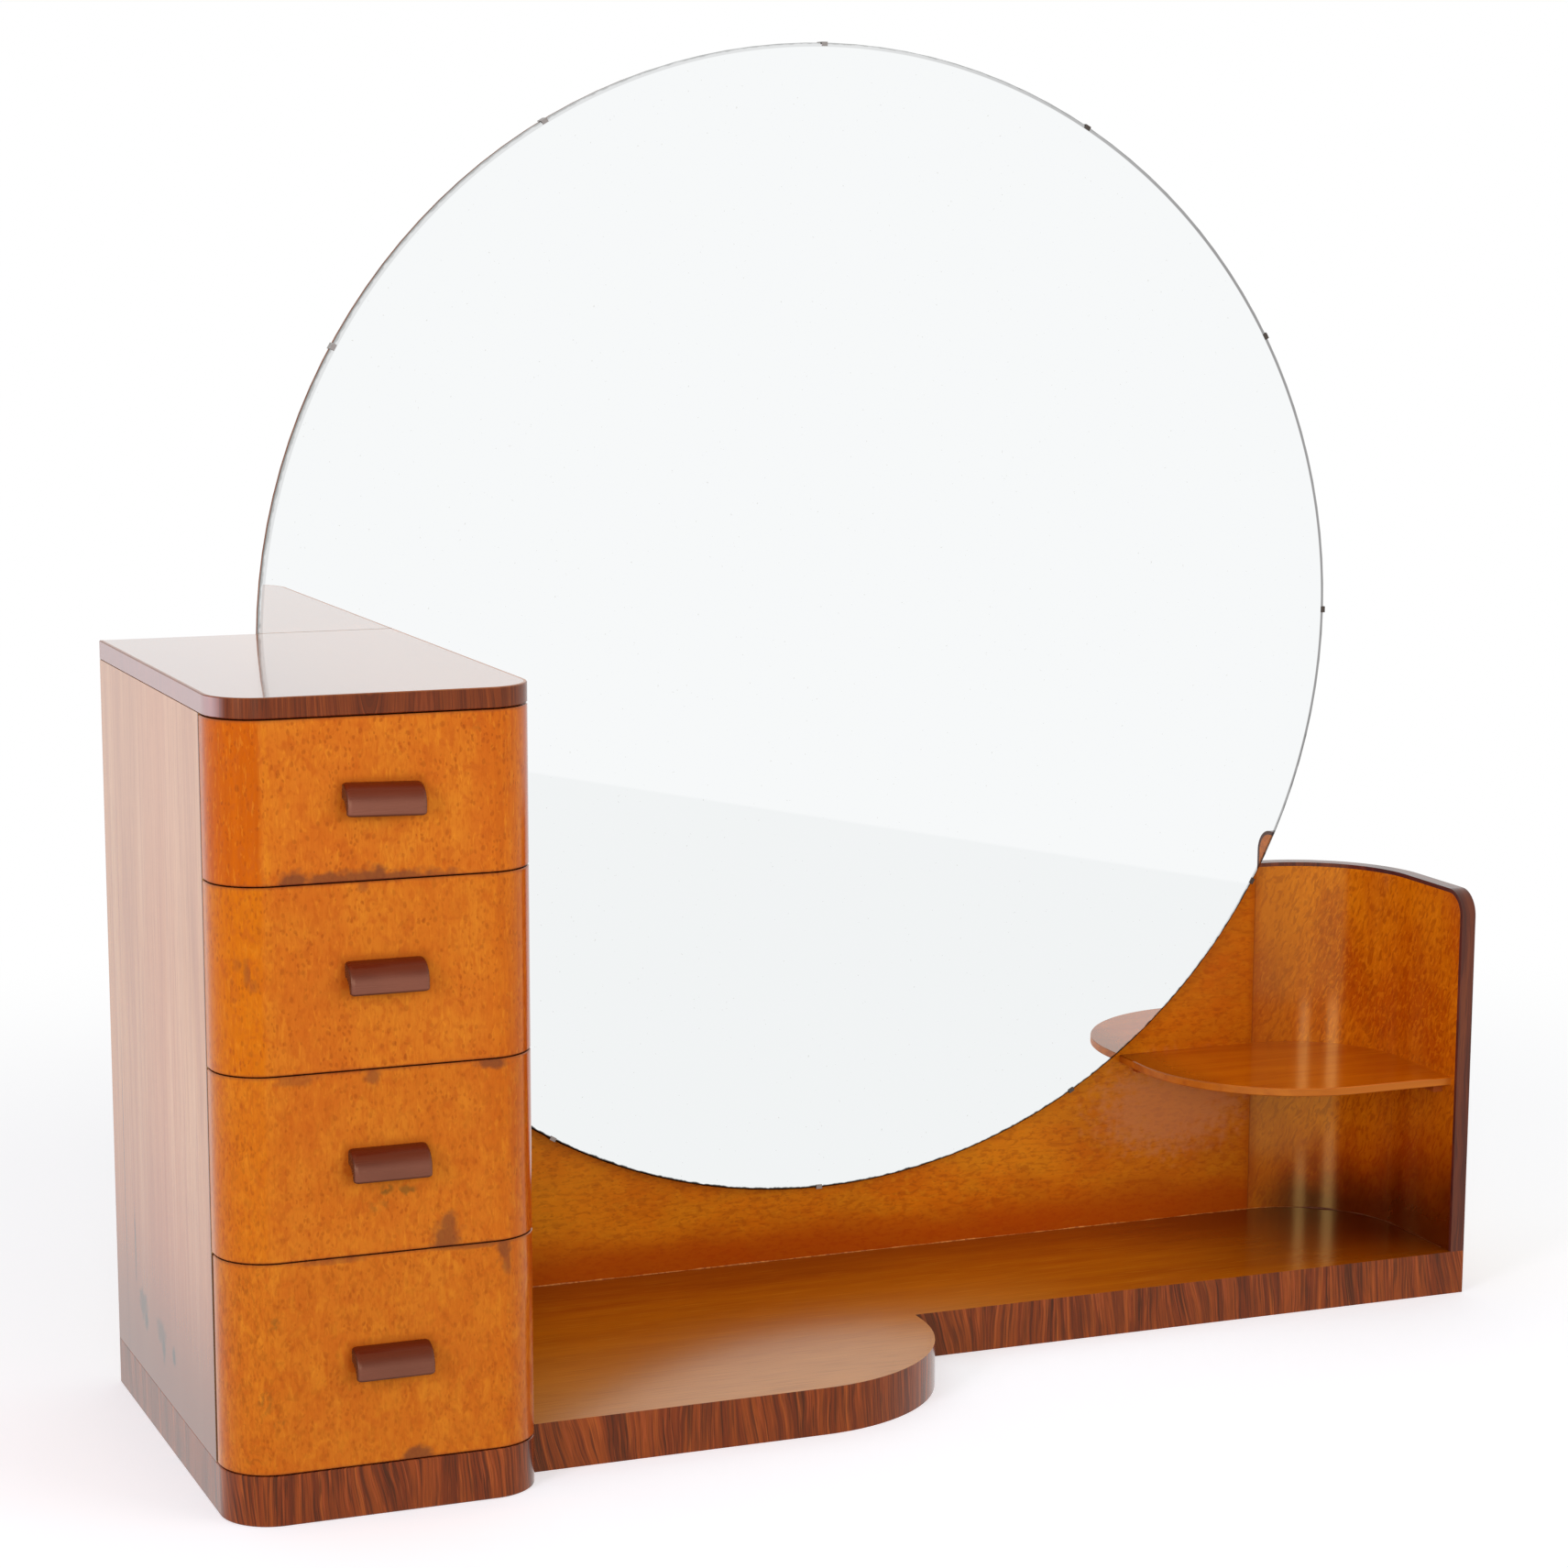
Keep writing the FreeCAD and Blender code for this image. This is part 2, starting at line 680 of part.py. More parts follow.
def make_panel_and_wing():
    floor_z = of.plinth_height
    panel_y = (backing_back_y, panel_back_y)
    screws, holes = upright_screws()
    board = box("back_panel_board", (of.panel_inset, seam_x), panel_y, (floor_z, panel_board_z))
    keep("back_panel", cut("back_panel", board, holes))
    lip = box("back_panel_edging", (of.panel_inset, seam_x), panel_y, (panel_board_z, panel_top_z))
    keep("back_panel_edging", lip)
    keep("upright_screws", screws)
    make_uprights(holes)

    wing_front = deck_front_y + of.panel_lip
    wing = add_plan("corner_wing", wing_path(wing_front), (floor_z, panel_board_z))
    round_nose(wing, wing_front, of.wing_nose - of.panel_lip)
    keep("corner_wing", wing)
    blank = add_plan("wing_blank", wing_path(deck_front_y), (floor_z, panel_top_z))
    round_nose(blank, deck_front_y, of.wing_nose)
    keep("wing_edging", cut("wing_edging", blank, wing))


def make_shelf():
    top = shelf_top_z
    low = top - of.shelf_thickness
    front = deck_front_y + of.shelf_setback
    radius = of.shelf_corner
    bend = (shelf_left_x + radius, front + radius)
    path = [
        (shelf_left_x, backing_back_y), (shelf_left_x, bend[1]), Arc(bend, radius), (bend[0], front),
        (wing_inner_x, front), (wing_inner_x, wing_centre_y),
        Arc((seam_x, wing_centre_y), of.wing_corner), (seam_x, backing_back_y),
    ]
    shelf = add_plan("corner_shelf", path, (low, top))

    def is_front_edge(edge):
        point = middle(edge)
        on_front = near(point.y, front) or near(point.x, shelf_left_x)
        on_bend = isinstance(edge.Curve, Part.Circle) and near(edge.Curve.Radius, radius)
        return is_level(edge) and (on_front or on_bend)

    dress(shelf, "Chamfer", of.arris, is_front_edge)
    keep("corner_shelf", shelf)

    cleat_z = (low - of.cleat_width, low)
    panel_cleat = box("shelf_cleat_panel", (shelf_left_x + of.cleat_margin, seam_x - of.cleat_margin),
                      (backing_back_y - of.cleat_width, backing_back_y), cleat_z)
    wing_cleat = box("shelf_cleat_wing", (wing_inner_x - of.cleat_width, wing_inner_x),
                     (front + of.cleat_margin, wing_centre_y), cleat_z)
    keep("shelf_cleats", group("shelf_cleats", [panel_cleat, wing_cleat]))


# ---- uprights -------------------------------------------------------------------------

def upright_screws():
    """Countersunk screws from the back of the uprights into the panel, and their holes."""
    spots = []
    for side in (-1, 1):
        for height in (of.upright_screw_low, of.upright_screw_high):
            x = mirror_x + of.upright_spacing / 2 * side
            spots.append((spot(x, upright_back_y, height), FreeCAD.Vector(0, -1, 0)))
    length = (of.upright_depth + of.upright_screw_bite).value

    def shape(extra):
        shank = of.upright_screw_radius.value + extra
        head = of.upright_screw_head.value + extra
        sink = head - shank
        return turned([(0, 0), (head, 0), (shank, sink), (shank, length + extra), (0, length + extra)])

    screws = set_in("upright_screws", shape(0), spots)
    return screws, set_in("upright_holes", shape(of.screw_clearance.value), spots)


def make_uprights(holes):
    """Two posts that stand behind the panel and step forward over it to the backing."""
    top = of.upright_height
    path = [
        (panel_back_y, zero), (upright_back_y, zero), (upright_back_y, top - of.upright_slope),
        (panel_back_y, top), (backing_back_y, top),
        (backing_back_y, panel_top_z), (panel_back_y, panel_top_z),
    ]
    for name, side in (("left", -1), ("right", 1)):
        post = padded(f"upright_post_{name}", "YZ_Plane", path, of.upright_width)
        centre = mirror_x + of.upright_spacing / 2 * side
        place(post, centre - of.upright_width / 2, zero, zero)
        keep(f"upright_{name}", cut(f"upright_{name}", post, holes))


# ---- mirror ---------------------------------------------------------------------------

def disc(name, radius, y, thickness):
    """A round plate that faces forward, centred on the mirror."""
    body = padded(name, "XZ_Plane", radius, thickness, reverse=True)
    place(body, mirror_x, y, mirror_z)
    return body


def make_clips():
    """Bent metal tabs round the rim, which hook over the glass and lie against the backing."""
    metal = of.clip_thickness
    rim = of.mirror_radius
    overlap = of.clip_overlap
    strip = doc.addObject("Part::Box", "clip_strip")
    tab = doc.addObject("Part::Box", "clip_tab")
    legs = (
        (strip, metal, backing_back_y + metal, rim),
        (tab, overlap + metal, metal, rim - overlap),
    )
    for leg, radial, along, start in legs:
        leg.setExpression("Length", radial.formula)
        leg.setExpression("Width", along.formula)
        leg.setExpression("Height", of.clip_width.formula)
        leg.setExpression("Placement.Base.x", start.formula)
        leg.setExpression("Placement.Base.y", (-metal).formula)
        leg.setExpression("Placement.Base.z", (-of.clip_width / 2).formula)
    hook = doc.addObject("Part::MultiFuse", "clip_hook")
    hook.Shapes = [strip, tab]
    doc.recompute()
    centre = spot(mirror_x, zero, mirror_z)
    copies = []
    for count in range(CLIP_COUNT):
        turn = FreeCAD.Rotation(FreeCAD.Vector(0, -1, 0), FIRST_CLIP + CLIP_STEP * count)
        copies.append(hook.Shape.transformed(FreeCAD.Placement(centre, turn).toMatrix()))
    clips = doc.addObject("Part::Feature", "mirror_clips")
    clips.Shape = Part.makeCompound(copies)
    keep("mirror_clips", clips)


def make_mirror():
    glass = disc("mirror_glass", of.mirror_radius, zero, of.glass_thickness)
    dress(glass, "Chamfer", of.glass_bevel, lambda edge: near(middle(edge).y, zero))
    keep("mirror_glass", glass)
    keep("mirror_backing", disc("mirror_backing", of.mirror_radius - of.backing_inset,
                                of.glass_thickness, of.backing_thickness))
    make_clips()


# ---- the whole ------------------------------------------------------------------------

make_pedestal()
for number in DRAWERS:
    make_drawer(number)
make_deck()
make_panel_and_wing()
make_shelf()
make_mirror()
doc.recompute()

for item in doc.Objects:
    faults = [word for word in ("Invalid", "Error") if word in item.State]
    if faults:
        raise RuntimeError(f"{item.Label}: {faults}")
for name, item in pieces.items():
    if item.Shape.isNull() or not item.Shape.isValid() or not item.Shape.Solids:
        raise RuntimeError(f"{name}: no valid solid")

os.makedirs("parts", exist_ok=True)
for name, item in pieces.items():
    item.Shape.exportStep(f"parts/{name}.step")

whole = Part.makeCompound([item.Shape for item in pieces.values()]).BoundBox
print(len(pieces), "pieces,", sum(len(item.Shape.Solids) for item in pieces.values()), "solids")
print(f"x {whole.XMin:.1f}..{whole.XMax:.1f}  y {whole.YMin:.1f}..{whole.YMax:.1f}"
      f"  z {whole.ZMin:.1f}..{whole.ZMax:.1f}")
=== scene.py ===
"""The looks of the round-mirror dresser: veneers, mirror, pulls, studio and camera."""

import json
import math

import bmesh
import bpy
from mathutils import Matrix, Vector, noise

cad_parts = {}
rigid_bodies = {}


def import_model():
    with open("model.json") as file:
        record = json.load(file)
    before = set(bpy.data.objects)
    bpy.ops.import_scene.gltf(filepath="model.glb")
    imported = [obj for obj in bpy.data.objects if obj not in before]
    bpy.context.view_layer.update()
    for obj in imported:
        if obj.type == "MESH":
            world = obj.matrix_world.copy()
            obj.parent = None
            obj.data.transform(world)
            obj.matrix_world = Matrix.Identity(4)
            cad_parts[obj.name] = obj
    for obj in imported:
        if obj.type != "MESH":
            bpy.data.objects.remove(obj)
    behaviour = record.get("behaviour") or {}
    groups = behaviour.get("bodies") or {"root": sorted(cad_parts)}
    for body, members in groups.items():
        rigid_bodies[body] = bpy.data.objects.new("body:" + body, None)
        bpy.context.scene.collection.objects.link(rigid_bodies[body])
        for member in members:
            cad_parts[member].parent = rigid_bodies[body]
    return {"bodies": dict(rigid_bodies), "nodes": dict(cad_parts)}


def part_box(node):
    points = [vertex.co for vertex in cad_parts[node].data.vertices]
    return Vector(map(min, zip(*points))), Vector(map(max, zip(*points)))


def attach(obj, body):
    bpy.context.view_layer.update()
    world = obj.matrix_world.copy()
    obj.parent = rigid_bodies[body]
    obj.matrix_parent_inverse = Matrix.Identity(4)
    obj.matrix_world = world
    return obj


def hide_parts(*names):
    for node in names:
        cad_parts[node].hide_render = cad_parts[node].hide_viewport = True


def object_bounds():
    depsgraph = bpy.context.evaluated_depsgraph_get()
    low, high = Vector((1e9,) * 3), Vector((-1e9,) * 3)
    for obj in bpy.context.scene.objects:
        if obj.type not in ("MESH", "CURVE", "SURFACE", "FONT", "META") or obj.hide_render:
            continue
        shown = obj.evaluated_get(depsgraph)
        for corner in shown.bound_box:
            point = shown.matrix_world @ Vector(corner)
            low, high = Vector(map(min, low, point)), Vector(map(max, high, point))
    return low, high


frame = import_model()
nodes = frame["nodes"]
cad_low, cad_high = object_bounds()

MM = 0.001
DRAWERS = [body for body in frame["bodies"] if body.startswith("drawer_")]

# ---- places taken from the frame ---------------------------------------------------------

pedestal_low, pedestal_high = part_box("pedestal_top_edging")
panel_low, panel_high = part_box("back_panel")
deck_low, deck_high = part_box("deck_edging")
wing_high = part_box("corner_wing")[1]
shelf_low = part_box("corner_shelf")[0]
glass_low, glass_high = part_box("mirror_glass")
mirror_centre = (glass_low + glass_high) / 2
mirror_radius = (glass_high.x - glass_low.x) / 2
seam_x = panel_high.x
wing_thickness = panel_high.y - panel_low.y
wing_inner_x = wing_high.x - wing_thickness
wing_corner = wing_inner_x - seam_x
pedestal_back = pedestal_high.y
side_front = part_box("pedestal_side_left")[0].y
FRONT_CORNER = 44 * MM                # radius of the fronts' rounded ends
FRONT_WALL = 16.5 * MM                # from a front's faces inwards, where plain wood begins


# ---- building node materials -------------------------------------------------------------


def colour(red, green, blue):
    """A display colour from 0 to 255 as the linear colour that nodes take."""
    parts = [part / 255 for part in (red, green, blue)]
    linear = [p / 12.92 if p <= 0.04045 else ((p + 0.055) / 1.055) ** 2.4 for p in parts]
    return (*linear, 1.0)


class Paint:
    """One node material around a Principled shader, with short names for its nodes."""

    def __init__(self, name):
        self.material = bpy.data.materials.new(name)
        self.material.use_nodes = True
        self.tree = self.material.node_tree
        self.shader = self.tree.nodes["Principled BSDF"]
        self.object = self.add("ShaderNodeTexCoord").outputs["Object"]
        self.place = self.object
        self.facing = self.add("ShaderNodeNewGeometry").outputs["Normal"]

    def add(self, kind, inputs=None, **settings):
        node = self.tree.nodes.new(kind)
        for name, value in settings.items():
            setattr(node, name, value)
        for key, value in (inputs or {}).items():
            self.plug(node.inputs[key], value)
        return node

    def plug(self, socket, value):
        if isinstance(value, bpy.types.NodeSocket):
            self.tree.links.new(value, socket)
        else:
            socket.default_value = value

    def stretch(self, scale, vector=None):
        """The place with each axis multiplied: a small factor draws a pattern out along it."""
        inputs = {0: vector or self.place, 1: scale}
        return self.add("ShaderNodeVectorMath", inputs, operation="MULTIPLY").outputs[0]

    def axis(self, name, vector=None):
        return self.add("ShaderNodeSeparateXYZ", {0: vector or self.object}).outputs[name]

    def point(self, across, up):
        return self.add("ShaderNodeCombineXYZ", {0: across, 1: up}).outputs[0]

    def lay(self, across, up):
        """Patterns made after this lie flat in the plane of two axes."""
        self.place = self.point(self.axis(across), self.axis(up))

    def unroll(self, front, centre=None, side=1):
        """Patterns made after this follow upright surfaces round their corners."""
        depth = self.less(self.axis("Y"), front)
        turn = side
        if centre is not None:
            turn = self.sum("SIGN", self.less(self.axis("X"), centre))
        run = self.plus(self.axis("X"), self.times(depth, turn))
        self.place = self.point(run, self.axis("Z"))

    def lean(self, degrees):
        """Turns the plane of the patterns, and gives back the old one to return to."""
        before = self.place
        x, y = self.axis("X", before), self.axis("Y", before)
        cosine, sine = math.cos(math.radians(degrees)), math.sin(math.radians(degrees))
        along = self.plus(self.times(x, cosine), self.times(y, sine))
        across = self.less(self.times(y, cosine), self.times(x, sine))
        self.place = self.point(along, across)
        return before

    def shake(self, scale, amount):
        """The place pushed about by noise, so that a pattern's lines aren't straight."""
        inputs = {"Vector": self.place, "Scale": scale, "Detail": 2.0}
        push = self.add("ShaderNodeTexNoise", inputs).outputs[1]
        push = self.add("ShaderNodeVectorMath", {0: push, 1: (0.5, 0.5, 0.5)},
                        operation="SUBTRACT").outputs[0]
        push = self.stretch((amount, amount, amount), push)
        return self.add("ShaderNodeVectorMath", {0: self.place, 1: push},
                        operation="ADD").outputs[0]

    def specks(self, spacing, size, share, stretch=(1, 1, 1), vector=None):
        """Separate marks, at most one in each cell of a plane, in a share of the cells."""
        inputs = {"Vector": self.stretch(stretch, vector), "Scale": 1 / spacing}
        cells = self.add("ShaderNodeTexVoronoi", inputs, voronoi_dimensions="2D")
        chance = self.add("ShaderNodeSeparateColor", {0: cells.outputs["Color"]})
        chosen = self.band(chance.outputs["Red"], 1 - share, 1.05 - share)
        radius = self.spread(chance.outputs["Green"], 0.6 * size / spacing, 0.4 * size / spacing)
        reach = self.ratio(cells.outputs["Distance"], radius)
        return self.times(chosen, self.below(reach, 0.5, 1.0))

    def tint(self, base, amount, mask, tone):
        """The base with a tone laid over it where a mask says."""
        return self.mix(self.times(mask, amount), base, tone)

    def sum(self, operation, first, second=0.0, clamp=False):
        inputs = {0: first, 1: second}
        return self.add("ShaderNodeMath", inputs, operation=operation, use_clamp=clamp).outputs[0]

    def times(self, first, second):
        return self.sum("MULTIPLY", first, second)

    def plus(self, first, second):
        return self.sum("ADD", first, second)

    def less(self, first, second):
        return self.sum("SUBTRACT", first, second)

    def ratio(self, first, second):
        return self.sum("DIVIDE", first, second)

    def away(self, value, centre):
        """How far a value is from a centre, to either side."""
        return self.sum("ABSOLUTE", self.less(value, centre))

    def spread(self, value, factor, start):
        """A value from 0 to 1 drawn out to begin at start and reach start plus factor."""
        result = self.sum("MULTIPLY_ADD", value, factor)
        result.node.inputs[2].default_value = start
        return result

    def noise(self, scale, stretch=(1, 1, 1), detail=2.0, bend=0.0, vector=None):
        """Noise from 0 to 1, where scale counts its features per metre."""
        inputs = {"Vector": self.stretch(stretch, vector), "Scale": scale, "Detail": detail,
                  "Distortion": bend}
        return self.add("ShaderNodeTexNoise", inputs).outputs[0]

    def band(self, value, low, high):
        """A soft step from 0 at low to 1 at high, whichever of them is the greater."""
        inputs = {"Value": value, "From Min": low, "From Max": high}
        step = self.add("ShaderNodeMapRange", inputs, interpolation_type="SMOOTHSTEP")
        return step.outputs[0]

    def below(self, value, low, high):
        """1 below low and 0 above high, with a soft step between them."""
        return self.less(1.0, self.band(value, low, high))

    def mix(self, factor, first, second):
        inputs = {0: factor, 6: first, 7: second}
        return self.add("ShaderNodeMix", inputs, data_type="RGBA").outputs[2]

    def ramp(self, value, *stops):
        node = self.add("ShaderNodeValToRGB", {0: value})
        ramp = node.color_ramp
        while len(ramp.elements) < len(stops):
            ramp.elements.new(0.5)
        for element, (position, tone) in zip(ramp.elements, stops):
            element.position = position
            element.color = tone
        return node.outputs[0]

    def faces(self, direction, low=0.4, high=0.6):
        """1 on surfaces that face a direction."""
        inputs = {0: self.facing, 1: Vector(direction).normalized()}
        dot = self.add("ShaderNodeVectorMath", inputs, operation="DOT_PRODUCT").outputs["Value"]
        return self.band(dot, low, high)

    def beyond(self, name, edge, soft=0.1 * MM):
        """1 where a coordinate is past an edge."""
        return self.band(self.axis(name), edge - soft, edge + soft)

    def layers(self, base, *rows):
        """Tones over the base: amount, tone, and a value with the two ends of its band."""
        for amount, tone, value, low, high in rows:
            base = self.tint(base, amount, self.band(value, low, high), colour(*tone))
        return base

    def figure(self, base, *rows):
        """The same from noises: amount, tone, scale, stretch, detail, bend, low, high."""
        for amount, tone, scale, stretch, detail, bend, low, high in rows:
            value = self.noise(scale, stretch, detail, bend)
            base = self.layers(base, (amount, tone, value, low, high))
        return base

    def finish(self, base, roughness, bump=None, bump_depth=0.05 * MM, coat=0.0, gloss=0.06,
               specular=0.5, **constants):
        self.plug(self.shader.inputs["Base Color"], base)
        self.plug(self.shader.inputs["Roughness"], roughness)
        self.shader.inputs["Coat Weight"].default_value = coat
        self.shader.inputs["Coat Roughness"].default_value = gloss
        self.shader.inputs["Specular IOR Level"].default_value = specular
        for name, value in constants.items():
            self.shader.inputs[name.replace("_", " ")].default_value = value
        if bump is not None:
            inputs = {"Height": bump, "Distance": bump_depth, "Strength": 0.5}
            normal = self.add("ShaderNodeBump", inputs).outputs[0]
            self.plug(self.shader.inputs["Normal"], normal)
        return self.material


def plain_wood(paint, along, light, dark):
    """Straight-grained wood whose fibres run along one axis."""
    stretch = [1.0, 1.0, 1.0]
    stretch["XYZ".index(along)] = 0.05
    bands = paint.noise(70, stretch, 3.0, 0.6)
    fibres = paint.noise(700, stretch, 2.0)
    tone = paint.ramp(bands, (0.3, dark), (0.7, light))
    return paint.tint(tone, 0.35, fibres, dark), fibres


def stain(paint, marks, axes="XZ"):
    """Soft blotches: each mark is a centre, two radii and a strength."""
    wobble = paint.times(paint.less(paint.noise(110, detail=3.0), 0.5), 1.4)
    total = None
    for across, up, wide, high, strength in marks:
        squares = []
        for axis, centre, radius in ((axes[0], across, wide), (axes[1], up, high)):
            part = paint.ratio(paint.away(paint.axis(axis), centre), radius)
            squares.append(paint.sum("POWER", part, 2.0))
        distance = paint.plus(paint.sum("SQRT", paint.plus(*squares)), wobble)
        inside = paint.times(paint.below(distance, 0.45, 1.2), strength)
        total = inside if total is None else paint.sum("MAXIMUM", total, inside)
    return total


def marks_from(corner, rows, side=1):
    """Rows of marks in mm from a corner, for stain, with side -1 where they run backwards."""
    return [(corner[0] + side * across * MM, corner[1] + up * MM, wide * MM, tall * MM, strength)
            for across, up, wide, tall, strength in rows]


# ---- the materials -----------------------------------------------------------------------

STAIN_BROWN = colour(112, 54, 38)
DRAWER_WOOD = (colour(214, 180, 134), colour(178, 136, 90))
PLY = ("X", colour(196, 160, 112), colour(160, 118, 74))
PINE = ("X", colour(214, 176, 122), colour(180, 134, 84))
PINE_EDGE = ("X", colour(198, 108, 20), colour(170, 82, 12))
PINE_UP = ("Z", colour(208, 170, 118), colour(176, 130, 82))
# what each lacquer reflects straight on
WARM_GLOSS = (1.0, 0.62, 0.16, 1.0)   # panel and deck
FRONT_GLOSS = (1.0, 0.62, 0.08, 1.0)
WING_GLOSS = (1.0, 0.7, 0.2, 1.0)
SHELF_GLOSS = (1.0, 0.78, 0.3, 1.0)
RED_GLOSS = (1.0, 0.66, 0.36, 1.0)    # rosewood and pulls
TOP_SHELLAC = {"coat": 1.0, "gloss": 0.05, "specular": 0.3, "Coat_IOR": 1.62}
SIDE_SHELLAC = {"coat": 1.0, "gloss": 0.05, "specular": 0.0, "Coat_IOR": 1.58}


def burl(paint, under=None):
    """Golden burl: soft mottling, faint upright streaks, and small upright dashes."""
    clouds = paint.noise(26, (1, 0.8, 1), 5.0, 0.4)
    base = paint.ramp(clouds, (0.36, colour(206, 108, 28)), (0.64, colour(214, 123, 34)))
    base = paint.figure(base, (0.55, (197, 90, 26), 15, (1, 0.8, 1), 5.0, 0.3, 0.46, 0.66))
    if under:
        base = under(base)
    base = paint.figure(base, (0.3, (197, 90, 26), 230, (1, 0.09, 1), 3.0, 0.0, 0.5, 0.75),
                        (0.6, (186, 84, 24), 105, (1, 0.7, 1), 4.0, 1.0, 0.5, 0.68),
                        (0.55, (188, 84, 20), 300, (1, 0.35, 1), 3.0, 0.8, 0.5, 0.7),
                        (0.34, (232, 144, 38), 260, (1, 0.3, 1), 3.0, 0.8, 0.54, 0.7),
                        (0.3, (186, 82, 16), 620, (1, 0.12, 1), 2.0, 0.0, 0.5, 0.7))
    grain = paint.noise(1100, (1, 0.2, 1), 1.0)
    base = paint.tint(base, 0.12, grain, colour(150, 62, 22))
    dashes = paint.specks(4.2 * MM, 1.8 * MM, 0.6, (1, 0.6, 1), paint.shake(60, 9 * MM))
    dense = paint.band(paint.noise(30, detail=3.0), 0.42, 0.6)
    base = paint.tint(base, 0.46, paint.times(dashes, dense), colour(146, 54, 14))
    pins = paint.specks(10 * MM, 2.5 * MM, 0.6, (1, 0.7, 1), paint.shake(25, 14 * MM))
    return paint.tint(base, 0.38, pins, colour(146, 56, 16)), grain


def top_face(paint):
    """The pedestal's top: the fronts' burl, dulled paler, partly as painted sheen, and darker
    towards the outer side as painted shade.
    """
    base, grain = burl(paint)
    # painted sheen and shade: the top paler overall and darker towards the outer side
    outer = paint.below(paint.axis("X"), cad_low.x, cad_low.x + 0.2)
    tone = paint.mix(outer, colour(196, 130, 84), colour(120, 56, 22))
    return paint.mix(0.65, base, tone), grain


def front_material(body, marks, scuffs, end_shade, golden, dulled, shadow):
    """A drawer front: burl outside, plain wood inside, stained along its edges."""
    low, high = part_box(f"{body}_front")
    paint = Paint(f"{body}_burl")
    paint.unroll(low.y, (low.x + high.x) / 2)
    z = paint.axis("Z")
    run = paint.axis("X", paint.place)

    def ends(base):
        """Painted shade keeps the rounded ends deeper in colour than the sheened flat, with a
        painted highlight as a golden line where the left one begins.
        """
        wander = paint.times(paint.noise(30, detail=3.0), 8 * MM)
        before = paint.less(paint.plus(low.x + FRONT_CORNER - 12 * MM, wander), run)
        deep = paint.noise(120, (1, 0.06, 1), 3.0)
        rich = paint.ramp(deep, (0.3, colour(184, 74, 0)), (0.7, colour(202, 92, 0)))
        rich = paint.mix(golden, rich, colour(214, 116, 2))
        # painted shade: the rounded left end deeper in colour
        base = paint.tint(base, end_shade, paint.band(before, -2 * MM, 5 * MM), rich)
        # painted highlight: a golden line where the rounded end begins
        highlight_line = paint.away(before, -4 * MM)
        base = paint.layers(base, (0.32 * end_shade, (220, 134, 24), highlight_line, 4.5 * MM, 0.0))
        # painted shade: the right end darker and redder, with streaks
        right = high.x - FRONT_CORNER
        past = paint.band(run, right - 14 * MM, right + 20 * MM)
        streaks = paint.band(paint.noise(110, (1, 0.04, 1), 3.0), 0.42, 0.62)
        tone = paint.mix(streaks, colour(210, 104, 18), colour(188, 78, 12))
        base = paint.tint(base, 0.7, past, tone)
        return paint.layers(base, (0.7, (176, 52, 0), run, high.x - 4 * MM, high.x + 12 * MM))

    base, grain = burl(paint, ends)
    base = paint.mix(dulled, base, colour(172, 84, 18))
    # the figure shows more where the lacquer has dulled
    base = paint.figure(
        base, (1.2 * dulled, (154, 70, 16), 190, (1, 0.6, 1), 4.0, 0.6, 0.5, 0.66),
        (1.1 * dulled, (222, 138, 36), 90, (1, 0.5, 1), 5.0, 0.5, 0.5, 0.7))
    # brown curls in the figure of the rounded end, where it isn't deep in colour
    curls = paint.band(paint.noise(150, (1, 0.6, 1), 4.0, 1.2), 0.52, 0.66)
    curls = paint.times(paint.below(run, low.x + 10 * MM, low.x + 80 * MM), curls)
    base = paint.tint(base, 0.5 * (1 - end_shade), curls, colour(146, 70, 18))
    # darker along the upper and lower edges, then the stains and the scuffs
    edge = paint.sum("MINIMUM", paint.less(z, low.z), paint.less(high.z, z))
    reach = paint.times(paint.noise(45, detail=4.0), 6 * MM)
    edge_darkening = paint.below(paint.ratio(edge, reach), 0.0, 1.0)
    base = paint.tint(base, 0.35, edge_darkening, STAIN_BROWN)
    corner = (low.x, low.z)
    base = paint.mix(stain(paint, marks_from(corner, marks)), base, STAIN_BROWN)
    broken = paint.band(paint.noise(170, (1, 0.8, 1), 3.0), 0.42, 0.6)
    worn = paint.times(stain(paint, marks_from(corner, scuffs)), broken)
    base = paint.tint(base, 0.85, worn, colour(126, 78, 30))
    # painted shade: a soft dark halo round the pull, together with rubbed grime
    pull_low, pull_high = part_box(f"{body}_handle")
    x = paint.axis("X")
    beside = paint.sum("MAXIMUM", paint.less(pull_low.x, x), paint.less(x, pull_high.x))
    above = paint.sum("MAXIMUM", paint.less(pull_low.z, z), paint.less(z, pull_high.z))
    reach = paint.sum("MAXIMUM", beside, above)
    base = paint.layers(base, (0.6, (158, 70, 14), reach, 8 * MM, 0.0))
    # plain wood on the inside, darker edge faces, and painted shadow in the gap at the joint with
    # the side
    wood = plain_wood(paint, "X", *DRAWER_WOOD)[0]
    inside = paint.beyond("Y", low.y + FRONT_WALL)
    inside = paint.times(inside, paint.beyond("X", low.x + FRONT_WALL))
    inside = paint.times(inside, paint.less(1.0, paint.beyond("X", high.x - FRONT_WALL)))
    edges = paint.sum("ADD", paint.faces((0, 0, 1), 0.8, 0.9), paint.faces((0, 0, -1), 0.8, 0.9),
                      clamp=True)
    base = paint.mix(edges, base, colour(120, 62, 30))
    # painted shadow in the gap where the front meets the side, made rough so no sheen lies over it
    joint = paint.beyond("Y", high.y - shadow * MM, 0.6 * MM)
    base = paint.tint(base, 0.9, joint, colour(44, 18, 12))
    base = paint.mix(inside, base, wood)
    raw = paint.sum("MAXIMUM", paint.times(inside, 0.35), paint.times(joint, 0.75))
    rough = paint.plus(paint.spread(grain, 0.06, 0.12), raw)
    return paint.finish(base, rough, grain, 0.03 * MM, Specular_Tint=FRONT_GLOSS)


